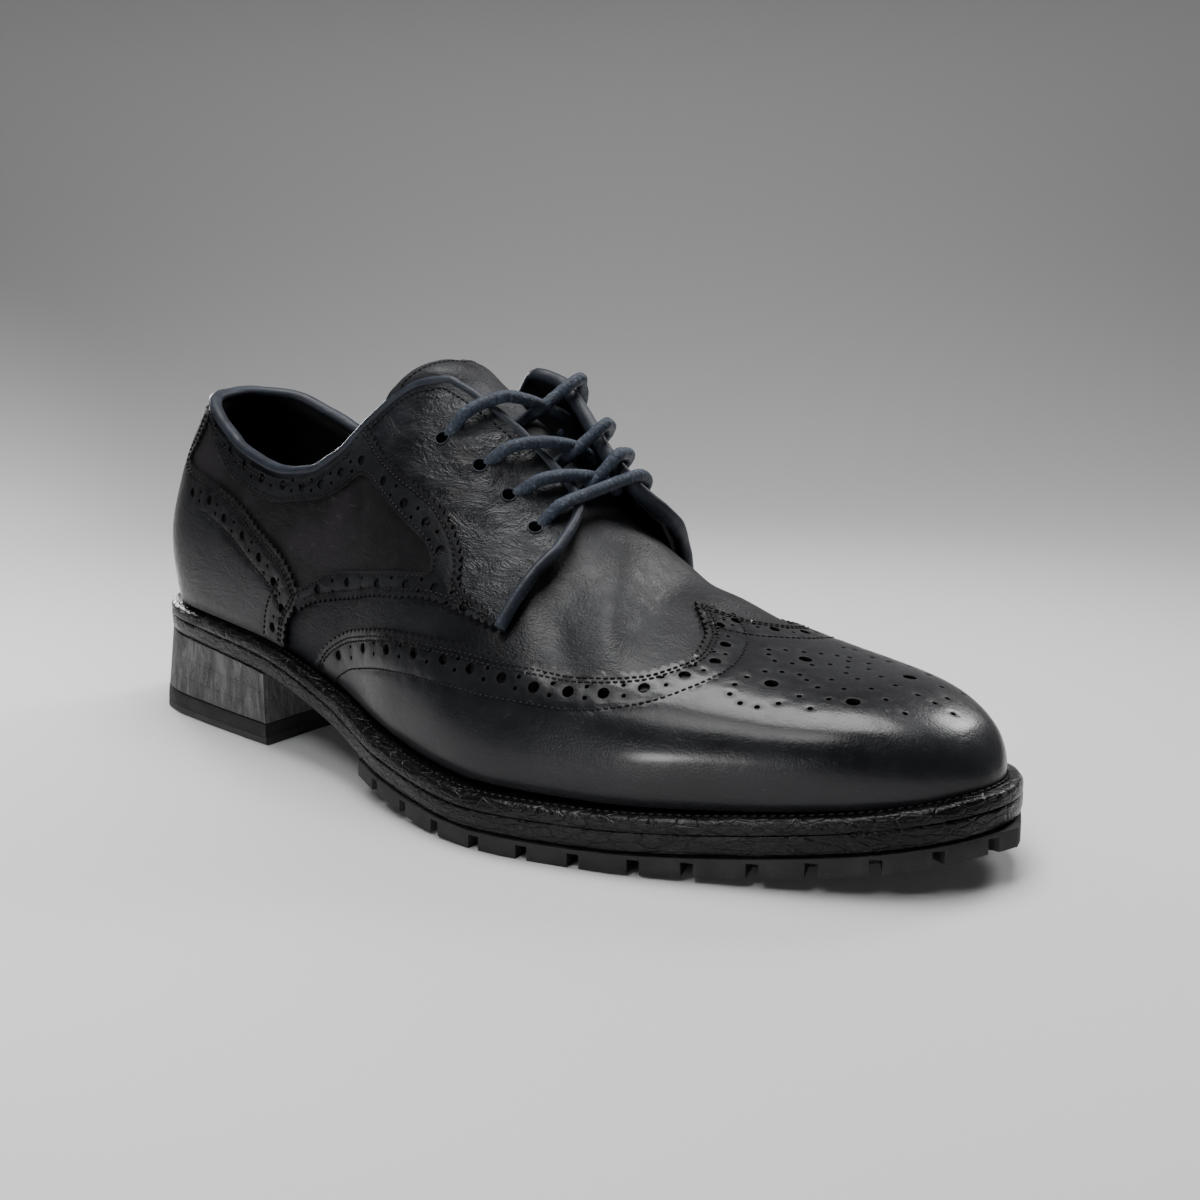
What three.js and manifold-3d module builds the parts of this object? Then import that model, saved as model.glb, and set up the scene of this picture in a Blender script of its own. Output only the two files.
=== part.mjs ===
// A right-foot full brogue derby in dark leather, standing empty on a heel and a lugged half sole.
// Millimetres, +X to the toe, +Y to the inner (medial) side, +Z up from the floor.
// One function, form(), gives the shape of the last from short tables of shares. Every leather
// piece is a wall, an overlay or a strip made from that function.
import * as THREE from "three";
import { mergeVertices } from "three/addons/utils/BufferGeometryUtils.js";
import Module from "manifold-3d";

const wasm = await Module();
wasm.setup();

// Driving dimensions of the bottom.
const soleLength = 300;
const ballWidth = 107;
const toeSwing = 5; // the toe's tip lies this far to the inner side of the heel's middle
const toeSpring = 9;
const weltThickness = 3.6;
const midsoleThickness = 5.3;
const treadThickness = 5;
const heelHeight = 26; // from the floor to the midsole, at the back
const heelLength = 79;
const heelFlare = 4.5; // the heel's foot stands out this far behind and beside its seat
const topPieceHeight = 6.5;
const treadFrom = 0.45; // share of the sole's length where the half sole starts
const lugDepth = 3.6;
const lugGap = 3;
const lugPitch = 14.5;
const lugStart = 10; // from the half sole's back to its first notch
const treadMargin = 2; // the tread stands out this far beyond the welt at the toe
const lugReach = 9;

// Driving dimensions of the upper.
const weltMargin = 7; // welt that shows beside the upper at the ball
const heelMargin = 3;
const toeMargin = 5;
const instepHeight = 98; // highest ridge of the form above the welt
const backHeight = 66; // collar above the welt at the heel's back
const wall = 1.6;
const quarterInner = 1.2;
const quarterSkin = 1.2;
const overlaySkin = 1.1;
const clearance = 0.3;
const sliver = 0.025; // facets thinner than this are left out
const lateralLift = 2;
const medialLift = 12;
const tongueThickness = 1.8;
const tongueWidth = 66;
const tongueFootShare = 0.6; // of its width, at its foot
const tongueFootAt = 0.62;
const insoleThickness = 3;
const bindingRadius = 1.6;
const bandWidth = 12;

// Driving dimensions of the lacing.
const laceRadius = 1.75;
const eyeletRadius = 2.6;
const laceAdvance = 0.018; // a run leans this share of the form's length to the toe
const laceDown = 0.6; // share of the way to the other edge where an outer run stops

// Half widths of the sole as shares of the ball's width.
const outline = [
  { at: 0.03, lateral: 0.186, medial: 0.178 },
  { at: 0.08, lateral: 0.27, medial: 0.266 },
  { at: 0.16, lateral: 0.312, medial: 0.31 },
  { at: 0.26, lateral: 0.35, medial: 0.295 },
  { at: 0.38, lateral: 0.395, medial: 0.272 },
  { at: 0.5, lateral: 0.505, medial: 0.325 },
  { at: 0.62, lateral: 0.562, medial: 0.43 },
  { at: 0.74, lateral: 0.5, medial: 0.48 },
  { at: 0.84, lateral: 0.395, medial: 0.44 },
  { at: 0.92, lateral: 0.295, medial: 0.31 },
  { at: 0.97, lateral: 0.195, medial: 0.19 },
];

// The welt's top line: seat is a share of the heel's rise, spring a share of the toe's.
const seatLine = [
  { at: 0, seat: 1, spring: 0 },
  { at: 0.12, seat: 0.95, spring: 0 },
  { at: 0.26, seat: 0.83, spring: 0 },
  { at: 0.42, seat: 0.33, spring: 0 },
  { at: 0.55, seat: 0.07, spring: 0 },
  { at: 0.63, seat: 0, spring: 0 },
  { at: 0.71, seat: 0, spring: 0 },
  { at: 0.8, seat: 0, spring: 0.12 },
  { at: 0.92, seat: 0, spring: 0.54 },
  { at: 1, seat: 0, spring: 1 },
];

// Sections of the form. height is a share of the instep's; shift of the ball's width, to the inner
// side; belly of the ball's width; wallUp of the section's height; crown of its half width.
const sections = [
  { at: 0, height: 1, shift: 0, belly: 0.03, wallUp: 0.5, crown: 0.35 },
  { at: 0.1, height: 1, shift: 0, belly: 0.03, wallUp: 0.5, crown: 0.4 },
  { at: 0.25, height: 1, shift: 0.005, belly: 0.02, wallUp: 0.5, crown: 0.5 },
  { at: 0.38, height: 0.97, shift: 0.015, belly: 0.02, wallUp: 0.42, crown: 0.55 },
  { at: 0.44, height: 0.96, shift: 0.025, belly: 0.02, wallUp: 0.4, crown: 0.62 },
  { at: 0.5, height: 0.88, shift: 0.035, belly: 0.02, wallUp: 0.4, crown: 0.62 },
  { at: 0.57, height: 0.69, shift: 0.04, belly: 0.025, wallUp: 0.42, crown: 0.66 },
  { at: 0.65, height: 0.515, shift: 0.03, belly: 0.03, wallUp: 0.48, crown: 0.74 },
  { at: 0.75, height: 0.355, shift: 0.015, belly: 0.035, wallUp: 0.6, crown: 0.86 },
  { at: 0.85, height: 0.27, shift: 0, belly: 0.035, wallUp: 0.7, crown: 0.92 },
  { at: 0.92, height: 0.225, shift: 0, belly: 0.03, wallUp: 0.72, crown: 0.9 },
  { at: 0.97, height: 0.155, shift: 0, belly: 0.025, wallUp: 0.72, crown: 0.8 },
];

// The heel's back in profile: up and forward are shares of the collar's height at the back.
const backLine = [
  { up: 0, forward: 0.05 },
  { up: 0.3, forward: 0 },
  { up: 0.6, forward: 0.1 },
  { up: 1, forward: 0.33 },
  { up: 1.5, forward: 0.5 },
];
const backLineEnds = 0.3;

// The collar's height above the welt, as a share of its height at the back.
const collarLine = [
  { at: 0, up: 1 },
  { at: 0.05, up: 0.98 },
  { at: 0.12, up: 0.9 },
  { at: 0.2, up: 0.8 },
  { at: 0.26, up: 0.77 },
  { at: 0.31, up: 0.82 },
  { at: 0.354, up: 0.97 },
  { at: 0.39, up: 1.19 },
  { at: 0.42, up: 1.31 },
  { at: 0.453, up: 1.35 },
];

// The facing's edge, as shares up the section.
const facingLine = [
  { at: 0.453, up: 0.785 },
  { at: 0.48, up: 0.83 },
  { at: 0.505, up: 0.855 },
  { at: 0.533, up: 0.885 },
  { at: 0.555, up: 0.91 },
  { at: 0.575, up: 0.92 },
  { at: 0.59, up: 0.9 },
  { at: 0.602, up: 0.84 },
  { at: 0.61, up: 0.75 },
];

// Panel edges on the form: up runs from 0 at the welt to 1 at the ridge.
const quarterFoot = [
  { at: 0.285, up: 0 },
  { at: 0.3, up: 0.06 },
  { at: 0.32, up: 0.12 },
  { at: 0.374, up: 0.2 },
  { at: 0.43, up: 0.262 },
  { at: 0.486, up: 0.32 },
  { at: 0.548, up: 0.405 },
  { at: 0.61, up: 0.469 },
];
const vampBack = [
  { up: 0, at: 0.24 },
  { up: 0.3, at: 0.3 },
  { up: 0.45, at: 0.42 },
  { up: 0.6, at: 0.53 },
  { up: 1, at: 0.565 },
];
// The counter's front edge; here up is a share of the collar's height at the back.
const counterFront = [
  { up: 0, at: 0.287 },
  { up: 0.12, at: 0.293 },
  { up: 0.23, at: 0.309 },
  { up: 0.3, at: 0.317 },
  { up: 0.35, at: 0.309 },
  { up: 0.42, at: 0.29 },
  { up: 0.5, at: 0.245 },
  { up: 0.58, at: 0.205 },
  { up: 0.65, at: 0.14 },
  { up: 0.69, at: 0.08 },
  { up: 0.73, at: 0.03 },
  { up: 0.8, at: 0.022 },
  { up: 0.94, at: 0.02 },
];
const wingEdge = [
  { up: 0, at: 0.335 },
  { up: 0.06, at: 0.351 },
  { up: 0.15, at: 0.396 },
  { up: 0.225, at: 0.466 },
  { up: 0.285, at: 0.523 },
  { up: 0.355, at: 0.576 },
  { up: 0.42, at: 0.632 },
  { up: 0.49, at: 0.69 },
  { up: 0.56, at: 0.723 },
  { up: 0.65, at: 0.748 },
  { up: 0.78, at: 0.76 },
  { up: 0.9, at: 0.747 },
  { up: 1, at: 0.707 },
];

// The middle of the perforated band that runs round the quarter's panel.
const bandLine = [
  { at: 0.03, up: 0.44 },
  { at: 0.09, up: 0.43 },
  { at: 0.15, up: 0.39 },
  { at: 0.205, up: 0.355 },
  { at: 0.26, up: 0.335 },
  { at: 0.31, up: 0.37 },
  { at: 0.35, up: 0.435 },
  { at: 0.385, up: 0.515 },
  { at: 0.425, up: 0.515 },
  { at: 0.468, up: 0.5 },
  { at: 0.505, up: 0.505 },
  { at: 0.53, up: 0.48 },
  { at: 0.538, up: 0.44 },
  { at: 0.525, up: 0.405 },
  { at: 0.492, up: 0.36 },
  { at: 0.45, up: 0.31 },
  { at: 0.4, up: 0.262 },
  { at: 0.35, up: 0.195 },
  { at: 0.32, up: 0.15 },
  { at: 0.3, up: 0.11 },
];
// The tongue's top edge: out is a share of its half width.
const tongueLine = [
  { out: 0, at: 0.42 },
  { out: 0.45, at: 0.41 },
  { out: 0.75, at: 0.395 },
  { out: 1, at: 0.375 },
];
// Eyelets from the top pair down; up is where the hole's middle is on its side.
const eyelets = [
  { at: 0.479, up: 0.688 },
  { at: 0.521, up: 0.717 },
  { at: 0.552, up: 0.743 },
  { at: 0.585, up: 0.752 },
];

// Monotone cubic through a table's column; key names the column that is in order.
function through(rows, column, value, key = "at") {
  const x = rows.map((row) => row[key]);
  const y = rows.map((row) => row[column]);
  const last = rows.length - 1;
  const t = Math.min(Math.max(value, x[0]), x[last]);
  const slope = (i) => (y[i + 1] - y[i]) / (x[i + 1] - x[i]);
  const tangent = (i) => {
    if (i === 0) return slope(0);
    if (i === last) return slope(last - 1);
    const before = slope(i - 1);
    const after = slope(i);
    if (before * after <= 0) return 0;
    const w1 = 2 * (x[i + 1] - x[i]) + (x[i] - x[i - 1]);
    const w2 = x[i + 1] - x[i] + 2 * (x[i] - x[i - 1]);
    return (w1 + w2) / (w1 / before + w2 / after);
  };
  let i = 0;
  while (i < last - 1 && t > x[i + 1]) i += 1;
  const step = x[i + 1] - x[i];
  const q = (t - x[i]) / step;
  const rise = y[i + 1] - y[i];
  const from = tangent(i) * step;
  const to = tangent(i + 1) * step;
  return y[i] + q * (from + q * (3 * rise - 2 * from - to + q * (from + to - 2 * rise)));
}

// The same for a column that ends round: its square is interpolated, down to zero at the toe.
function roundEnded(rows, column, value, open = false) {
  const squares = rows.map((row) => ({ at: row.at, square: row[column] ** 2 }));
  if (!open) squares.unshift({ at: 0, square: 0 });
  squares.push({ at: 1, square: 0 });
  return Math.sqrt(Math.max(0, through(squares, "square", value)));
}

const ease = (value) => {
  const t = Math.min(Math.max(value, 0), 1);
  return t * t * (3 - 2 * t);
};
const mix = (a, b, t) => a + (b - a) * t;
const steps = (count) => Array.from({ length: count + 1 }, (_, i) => i / count);

// The bottom: its outline and the heights of its layers, at a share of the sole's length.
const swing = (at) => toeSwing * ease((at - 0.5) / 0.5);
const halfWidth = (side, at) => ballWidth * roundEnded(outline, side < 0 ? "lateral" : "medial", at);
const foreStack = treadThickness + midsoleThickness + weltThickness;
const heelStackHeight = heelHeight + midsoleThickness + weltThickness;
const weltTop = (at) =>
  foreStack +
  (heelStackHeight - foreStack) * through(seatLine, "seat", at) +
  toeSpring * through(seatLine, "spring", at);
const midsoleTop = (at) => weltTop(at) - weltThickness;
const midsoleFoot = (at) => midsoleTop(at) - midsoleThickness;

// The form: a point of the last's surface. along is signed, from -1 at the toe round the lateral
// side to 0 at the heel's back and on to 1 at the toe; up runs from 0 at the welt to 1 at the
// ridge, and beyond 1 it comes down the other side.
const formLength = soleLength - heelMargin - toeMargin;
const formShare = 1 - (2 * weltMargin) / ballWidth;
const shareOf = (along) => (1 - Math.cos(Math.PI * Math.min(Math.abs(along), 1))) / 2;
const alongOf = (side, at) => (side * Math.acos(1 - 2 * at)) / Math.PI;
const soleShare = (at) => (heelMargin + at * formLength) / soleLength;
const slimEnd = 0.2;

function sectionAt(side, at) {
  const half = formShare * halfWidth(side, at);
  const height = instepHeight * roundEnded(sections, "height", at, true);
  const middle = swing(soleShare(at));
  const ridge = middle + ballWidth * through(sections, "shift", at) * ease((1 - at) / slimEnd);
  const slim = Math.min(1, half / (slimEnd * ballWidth));
  const belly = ballWidth * through(sections, "belly", at) * slim;
  return {
    x: heelMargin + at * formLength,
    foot: weltTop(soleShare(at)),
    y: [
      middle + side * half,
      middle + side * (half + belly),
      ridge + side * half * through(sections, "crown", at),
      ridge,
    ],
    z: [0, height * through(sections, "wallUp", at), height, height],
  };
}

const bezier = (p, t) =>
  p[0] * (1 - t) ** 3 + 3 * p[1] * t * (1 - t) ** 2 + 3 * p[2] * t * t * (1 - t) + p[3] * t ** 3;

function form(along, up) {
  const side = (along < 0 ? -1 : 1) * (up > 1 ? -1 : 1);
  const t = up > 1 ? 2 - up : up;
  const at = shareOf(along);
  const section = sectionAt(side, at);
  const rise = bezier(section.z, t);
  const fade = Math.max(0, 1 - at / backLineEnds) ** 2;
  const lean = backHeight * through(backLine, "forward", rise / backHeight, "up") * fade;
  return new THREE.Vector3(section.x + lean, bezier(section.y, t), section.foot + rise);
}

// The form's outward normal, which turns to face straight ahead at the toe's tip.
const probe = 1e-3;
const tipFrom = 0.955;
function normalAt(along, up) {
  const reach = 1 - 2 * probe;
  const a = Math.min(Math.max(along, -reach), reach);
  const lengthwise = form(a + probe, up).sub(form(a - probe, up));
  const across = form(a, up + probe).sub(form(a, up - probe));
  const normal = across.cross(lengthwise).normalize();
  const ahead = new THREE.Vector3(1, 0, 0);
  return normal.lerp(ahead, ease((Math.abs(along) - tipFrom) / (1 - tipFrom))).normalize();
}
const skin = (along, up, off) => form(along, up).addScaledVector(normalAt(along, up), off);

// The share up a section at which a measure of the form reaches a value.
function upWhere(along, measure, value) {
  let low = 0;
  let high = 1;
  for (let i = 0; i < 30; i += 1) {
    const middle = (low + high) / 2;
    if (measure(form(along, middle)) < value) low = middle;
    else high = middle;
  }
  return (low + high) / 2;
}
const upOfRise = (along, rise) =>
  upWhere(along, (p) => p.z, weltTop(soleShare(shareOf(along))) + rise);
const upOfOut = (along, out) => {
  const side = along < 0 ? -1 : 1;
  const ridge = form(along, 1).y;
  return upWhere(along, (p) => -side * (p.y - ridge), -out);
};

// The quarter's free edge: the collar, then the facing.
const facingTop = facingLine[0].at;
const cornerAt = facingLine[facingLine.length - 1].at;
function quarterTop(along) {
  const at = shareOf(along);
  if (at <= facingTop) return upOfRise(along, backHeight * through(collarLine, "up", at));
  return through(facingLine, "up", at);
}
const quarterLow = (along) => {
  const at = shareOf(along);
  return at <= quarterFoot[0].at ? 0 : through(quarterFoot, "up", at);
};

// The facings stand off the form towards their free edges, the medial one the most.
const liftFrom = 0.4;
const liftFull = 0.5;
const liftEnd = 0.69;
const liftReach = 0.4;
function lift(along, up) {
  const at = shareOf(along);
  const most = along < 0 ? lateralLift : medialLift;
  const lengthwise =
    ease((at - liftFrom) / (liftFull - liftFrom)) * ease((liftEnd - at) / (liftEnd - liftFull));
  return most * lengthwise * ease((up - (quarterTop(along) - liftReach)) / liftReach);
}
const quarter = (along, up, off) => skin(along, up, off + lift(along, up));

// A closed solid from loose triangles: points that meet are welded, and flat ones dropped.
function solidFrom(positions, triangles) {
  const raw = new THREE.BufferGeometry();
  raw.setAttribute("position", new THREE.Float32BufferAttribute(positions, 3));
  raw.setIndex(triangles);
  const merged = mergeVertices(raw, 1e-3);
  const index = merged.index.array;
  const kept = [];
  for (let i = 0; i < index.length; i += 3) {
    const [a, b, c] = [index[i], index[i + 1], index[i + 2]];
    if (a !== b && b !== c && c !== a) kept.push(a, b, c);
  }
  return new wasm.Manifold(
    new wasm.Mesh({
      numProp: 3,
      vertProperties: new Float32Array(merged.attributes.position.array),
      triVerts: new Uint32Array(kept),
    }),
  );
}

// A solid between an outer and an inner grid of the same size, with walls round its edge.
// Where the rows end in one point, no wall is needed there.
function between(outer, inner, pointed = false) {
  const columns = outer.length;
  const rows = outer[0].length;
  const positions = [...outer.flat(), ...inner.flat()].flatMap((p) => [p.x, p.y, p.z]);
  const out = (i, j) => i * rows + j;
  const inn = (i, j) => columns * rows + i * rows + j;
  const triangles = [];
  const quad = (a, b, c, d) => triangles.push(a, b, c, a, c, d);
  for (let i = 0; i < columns - 1; i += 1) {
    for (let j = 0; j < rows - 1; j += 1) {
      quad(out(i, j), out(i, j + 1), out(i + 1, j + 1), out(i + 1, j));
      quad(inn(i, j), inn(i + 1, j), inn(i + 1, j + 1), inn(i, j + 1));
    }
    quad(out(i, 0), out(i + 1, 0), inn(i + 1, 0), inn(i, 0));
    if (!pointed) {
      quad(out(i + 1, rows - 1), out(i, rows - 1), inn(i, rows - 1), inn(i + 1, rows - 1));
    }
  }
  for (let j = 0; j < rows - 1; j += 1) {
    quad(out(0, j + 1), out(0, j), inn(0, j), inn(0, j + 1));
    quad(out(columns - 1, j), out(columns - 1, j + 1), inn(columns - 1, j + 1), inn(columns - 1, j));
  }
  return solidFrom(positions, triangles);
}

// The largest body of a solid, without the closed pockets and crumbs that a cut can leave.
const whole = (solid) =>
  solid.decompose().reduce((most, body) => (body.volume() > most.volume() ? body : most));

// A tube or bar of any section: each ring is a list of points.
function loft(rings) {
  const sides = rings[0].length;
  const positions = rings.flat().flatMap((p) => [p.x, p.y, p.z]);
  const triangles = [];
  for (let i = 0; i < rings.length - 1; i += 1) {
    for (let j = 0; j < sides; j += 1) {
      const k = (j + 1) % sides;
      const [a, b] = [i * sides + j, i * sides + k];
      triangles.push(a, b + sides, b, a, a + sides, b + sides);
    }
  }
  const end = (rings.length - 1) * sides;
  for (let j = 1; j < sides - 1; j += 1) {
    triangles.push(0, j, j + 1);
    triangles.push(end, end + j + 1, end + j);
  }
  return solidFrom(positions, triangles);
}

// A layer of the bottom between two heights. flare grows the outline with the drop from the
// heel's seat, most at the back.
const flareAt = (height) => heelFlare * (1 - height / heelHeight);
function slab({ from = 0, to = 1, margin = 0, top, foot, flared = false, count = 24 }) {
  const rings = steps(count).map((t) => {
    const a = mix(Math.acos(1 - 2 * from), Math.acos(1 - 2 * to), t);
    const at = (1 - Math.cos(a)) / 2;
    const corner = (side, height) => {
      const flare = flared ? flareAt(height) * (1 - at / to) : 0;
      const half = halfWidth(side, at);
      const grown = half + flare * Math.min(1, half / lugReach);
      const x = at * soleLength + (at < 0.5 ? -flare : margin) * Math.max(0, 1 - half / lugReach);
      return new THREE.Vector3(x, swing(at) + side * grown, height);
    };
    return [corner(-1, foot(at)), corner(-1, top(at)), corner(1, top(at)), corner(1, foot(at))];
  });
  return loft(rings);
}

// The upper's layers reach down inside the welt to the midsole.
const skirtFoot = (at) => midsoleTop(soleShare(at)) + clearance;
const withSkirt = (point, along) =>
  new THREE.Vector3(point.x, point.y, skirtFoot(shareOf(along)));

const quarterAlongs = steps(52).map((t) => mix(-1, 1, t) * alongOf(1, cornerAt));
const quarterRows = steps(5);
function quarterGrid(off, skirt) {
  return quarterAlongs.map((along) => {
    const low = quarterLow(along);
    const points = quarterRows.map((t) => quarter(along, mix(low, quarterTop(along), t), off));
    if (!skirt) return points;
    return [low === 0 ? withSkirt(points[0], along) : points[0].clone(), ...points];
  });
}
const quarterShell = () => between(quarterGrid(quarterSkin, true), quarterGrid(-quarterInner, true));

const vampRows = steps(14);
const vampColumns = steps(20).map((t) => 2 * t);
const foldedUp = (across) => (across > 1 ? 2 - across : across);
function vampAlongs(across) {
  const back = alongOf(1, through(vampBack, "at", foldedUp(across), "up"));
  return vampRows.map((t) => -mix(back, 1, t));
}
const vampGrid = (off, columns) =>
  columns.map((across) => vampAlongs(across).map((along) => skin(along, across, off)));
function vampShell() {
  const skirt = (points, across) => points.map((p, i) => withSkirt(p, vampAlongs(across)[i]));
  const grid = (off) => {
    const columns = vampGrid(off, vampColumns);
    return [skirt(columns[0], 0), ...columns, skirt(columns[columns.length - 1], 2)];
  };
  return between(grid(0), grid(-wall), true);
}

// Panels that lie on the walls: each is cut from a larger layer, a clearance off its wall, by a
// thick block with the panel's outline.
const blockDepth = 4 * overlaySkin;
const footUp = 0.02; // panels end this share of a section above the welt
const vampLayer = (inner, outer) => {
  const columns = [footUp, ...vampColumns.slice(1, -1), 2 - footUp];
  return between(vampGrid(outer, columns), vampGrid(inner, columns), true);
};
const quarterLayer = (inner, outer) => between(quarterGrid(outer), quarterGrid(inner));

function wingBlock() {
  const rows = steps(10);
  const grid = (off) =>
    steps(28).map((t) => {
      const across = 2 * t;
      const back = alongOf(1, through(wingEdge, "at", foldedUp(across), "up"));
      return rows.map((r) => skin(-mix(back, 1, r), across, off));
    });
  return between(grid(blockDepth), grid(-blockDepth / 2), true);
}

function counterBlock(grow = 0) {
  const rows = steps(12).map((r) => mix(0.02, counterFront[counterFront.length - 1].up, r));
  const grid = (off) =>
    steps(10).map((t) =>
      rows.map((up) => {
        const reach = alongOf(1, through(counterFront, "at", up, "up") + grow);
        const along = mix(-reach, reach, t);
        return quarter(along, upOfRise(along, up * backHeight), off);
      }),
    );
  return between(grid(blockDepth + quarterSkin), grid(-blockDepth / 2));
}

// A block along a line of shares on the quarter, so many millimetres wide to each side.
function stripBlock(side, line, halfWidth, count) {
  const curve = new THREE.CatmullRomCurve3(
    line.map((row) => new THREE.Vector3(alongOf(side, row.at), row.up, 0)),
    false,
    "centripetal",
  );
  const small = 1e-3;
  const beside = (t, distance) => {
    const here = curve.getPoint(t);
    const ahead = curve.getPoint(Math.min(1, t + small)).sub(curve.getPoint(Math.max(0, t - small)));
    const place = (dAlong, dUp) => form(here.x + dAlong, here.y + dUp);
    const byAlong = place(small, 0).sub(place(-small, 0)).divideScalar(2 * small);
    const byUp = place(0, small).sub(place(0, -small)).divideScalar(2 * small);
    const run = byAlong.clone().multiplyScalar(ahead.x).addScaledVector(byUp, ahead.y).normalize();
    const aside = run.cross(normalAt(here.x, here.y)).multiplyScalar(distance);
    const aa = byAlong.dot(byAlong);
    const au = byAlong.dot(byUp);
    const uu = byUp.dot(byUp);
    const a = byAlong.dot(aside);
    const u = byUp.dot(aside);
    const scale = aa * uu - au * au;
    return [here.x + (a * uu - u * au) / scale, here.y + (u * aa - a * au) / scale];
  };
  const rows = [-1, 1];
  const grid = (off) =>
    steps(count).map((t) => rows.map((r) => quarter(...beside(t, r * halfWidth), off)));
  return between(grid(blockDepth + quarterSkin), grid(-blockDepth / 2));
}

// A tube through points, with its rings square to the way it runs.
function tube(points, radius, sides = 8, normalOf = () => new THREE.Vector3(0, 0, 1)) {
  const rings = points.map((point, i) => {
    const before = points[Math.max(0, i - 1)];
    const after = points[Math.min(points.length - 1, i + 1)];
    const run = after.clone().sub(before).normalize();
    const out = normalOf(i).clone();
    out.addScaledVector(run, -out.dot(run)).normalize();
    const beside = out.clone().cross(run);
    return steps(sides).slice(1).map((t) =>
      point
        .clone()
        .addScaledVector(out, radius * Math.cos(2 * Math.PI * t))
        .addScaledVector(beside, radius * Math.sin(2 * Math.PI * t)),
    );
  });
  return loft(rings);
}

// The rolled binding along the collar and down both facings, where it lies on the vamp.
const bindingRise = bindingRadius + 2 * clearance;
const vampFrom = 0.54;
const raised = (along) => bindingRise * ease((shareOf(along) - vampFrom) / (cornerAt - vampFrom));
function binding() {
  const end = alongOf(1, cornerAt);
  const down = steps(6).slice(1);
  const at = (along, t) => ({ along, up: mix(quarterTop(along), quarterLow(along), t) });
  const path = [
    ...down.map((t) => at(-end, t)).reverse(),
    ...steps(52).map((t) => at(mix(-end, end, t), 0)),
    ...down.map((t) => at(end, t)),
  ];
  const edge = path.map(({ along, up }) => quarter(along, up, raised(along)));
  const normals = path.map(({ along, up }) => normalAt(along, up));
  const points = edge.map((point, i) => {
    const run = edge[Math.min(i + 1, edge.length - 1)].clone().sub(edge[Math.max(i - 1, 0)]);
    const out = run.cross(normals[i]).normalize();
    return point.clone().addScaledVector(out, bindingRadius + clearance);
  });
  return tube(points, bindingRadius, 6, (i) => normals[i]);
}

function tongue() {
  const rows = steps(7);
  const grid = (off) =>
    steps(8).map((t) =>
      rows.map((r) => {
        const reach = Math.abs(2 * t - 1);
        const at = mix(through(tongueLine, "at", reach, "out"), tongueFootAt, r);
        const along = alongOf(-1, at);
        const out = (t - 0.5) * tongueWidth * mix(1, tongueFootShare, r);
        const up = upOfOut(alongOf(out < 0 ? -1 : 1, at), Math.abs(out));
        return skin(along, out < 0 ? up : 2 - up, off);
      }),
    );
  const top = -wall - 2 * clearance;
  return between(grid(top), grid(top - tongueThickness));
}

const eyeletPoint = (side, row, off) => quarter(alongOf(side, row.at), row.up, off);
function eyeletHole(side, row) {
  const reach = 3 * quarterSkin;
  const ends = [-reach, reach].map((off) => eyeletPoint(side, row, off));
  return tube(ends, eyeletRadius, 12, () => new THREE.Vector3(1, 0, 0));
}

// The bottom's pieces.
function weltRing() {
  const inset = overlaySkin + 3 * clearance;
  const contour = steps(50).map((t) => {
    const along = mix(-1, 1, t);
    const point = form(along, 0);
    const out = normalAt(along, 0).setZ(0).normalize();
    return point.addScaledVector(out, inset);
  });
  const shape = new THREE.Shape(contour.slice(1).map((p) => new THREE.Vector2(p.x, p.y)));
  const deep = heelStackHeight + toeSpring;
  const raw = new THREE.ExtrudeGeometry(shape, { depth: 2 * deep, bevelEnabled: false, steps: 1 });
  const position = raw.attributes.position.array;
  const core = solidFrom(position, Array.from({ length: position.length / 3 }, (_, i) => i));
  return slab({ top: weltTop, foot: midsoleTop }).subtract(core);
}

function insole() {
  const inset = wall + 3 * clearance;
  const rings = steps(24).map((t) => {
    const at = shareOf(t);
    const x = form(t, 0).x + mix(inset, -2 * inset, at);
    const sole = soleShare(at);
    const corner = (side, height) => {
      const half = Math.max(0, formShare * halfWidth(side, at) - inset);
      return new THREE.Vector3(x, swing(sole) + side * half, height);
    };
    const foot = midsoleTop(sole) + 2 * clearance;
    const top = foot + insoleThickness;
    return [corner(-1, foot), corner(-1, top), corner(1, top), corner(1, foot)];
  });
  return loft(rings);
}

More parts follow.
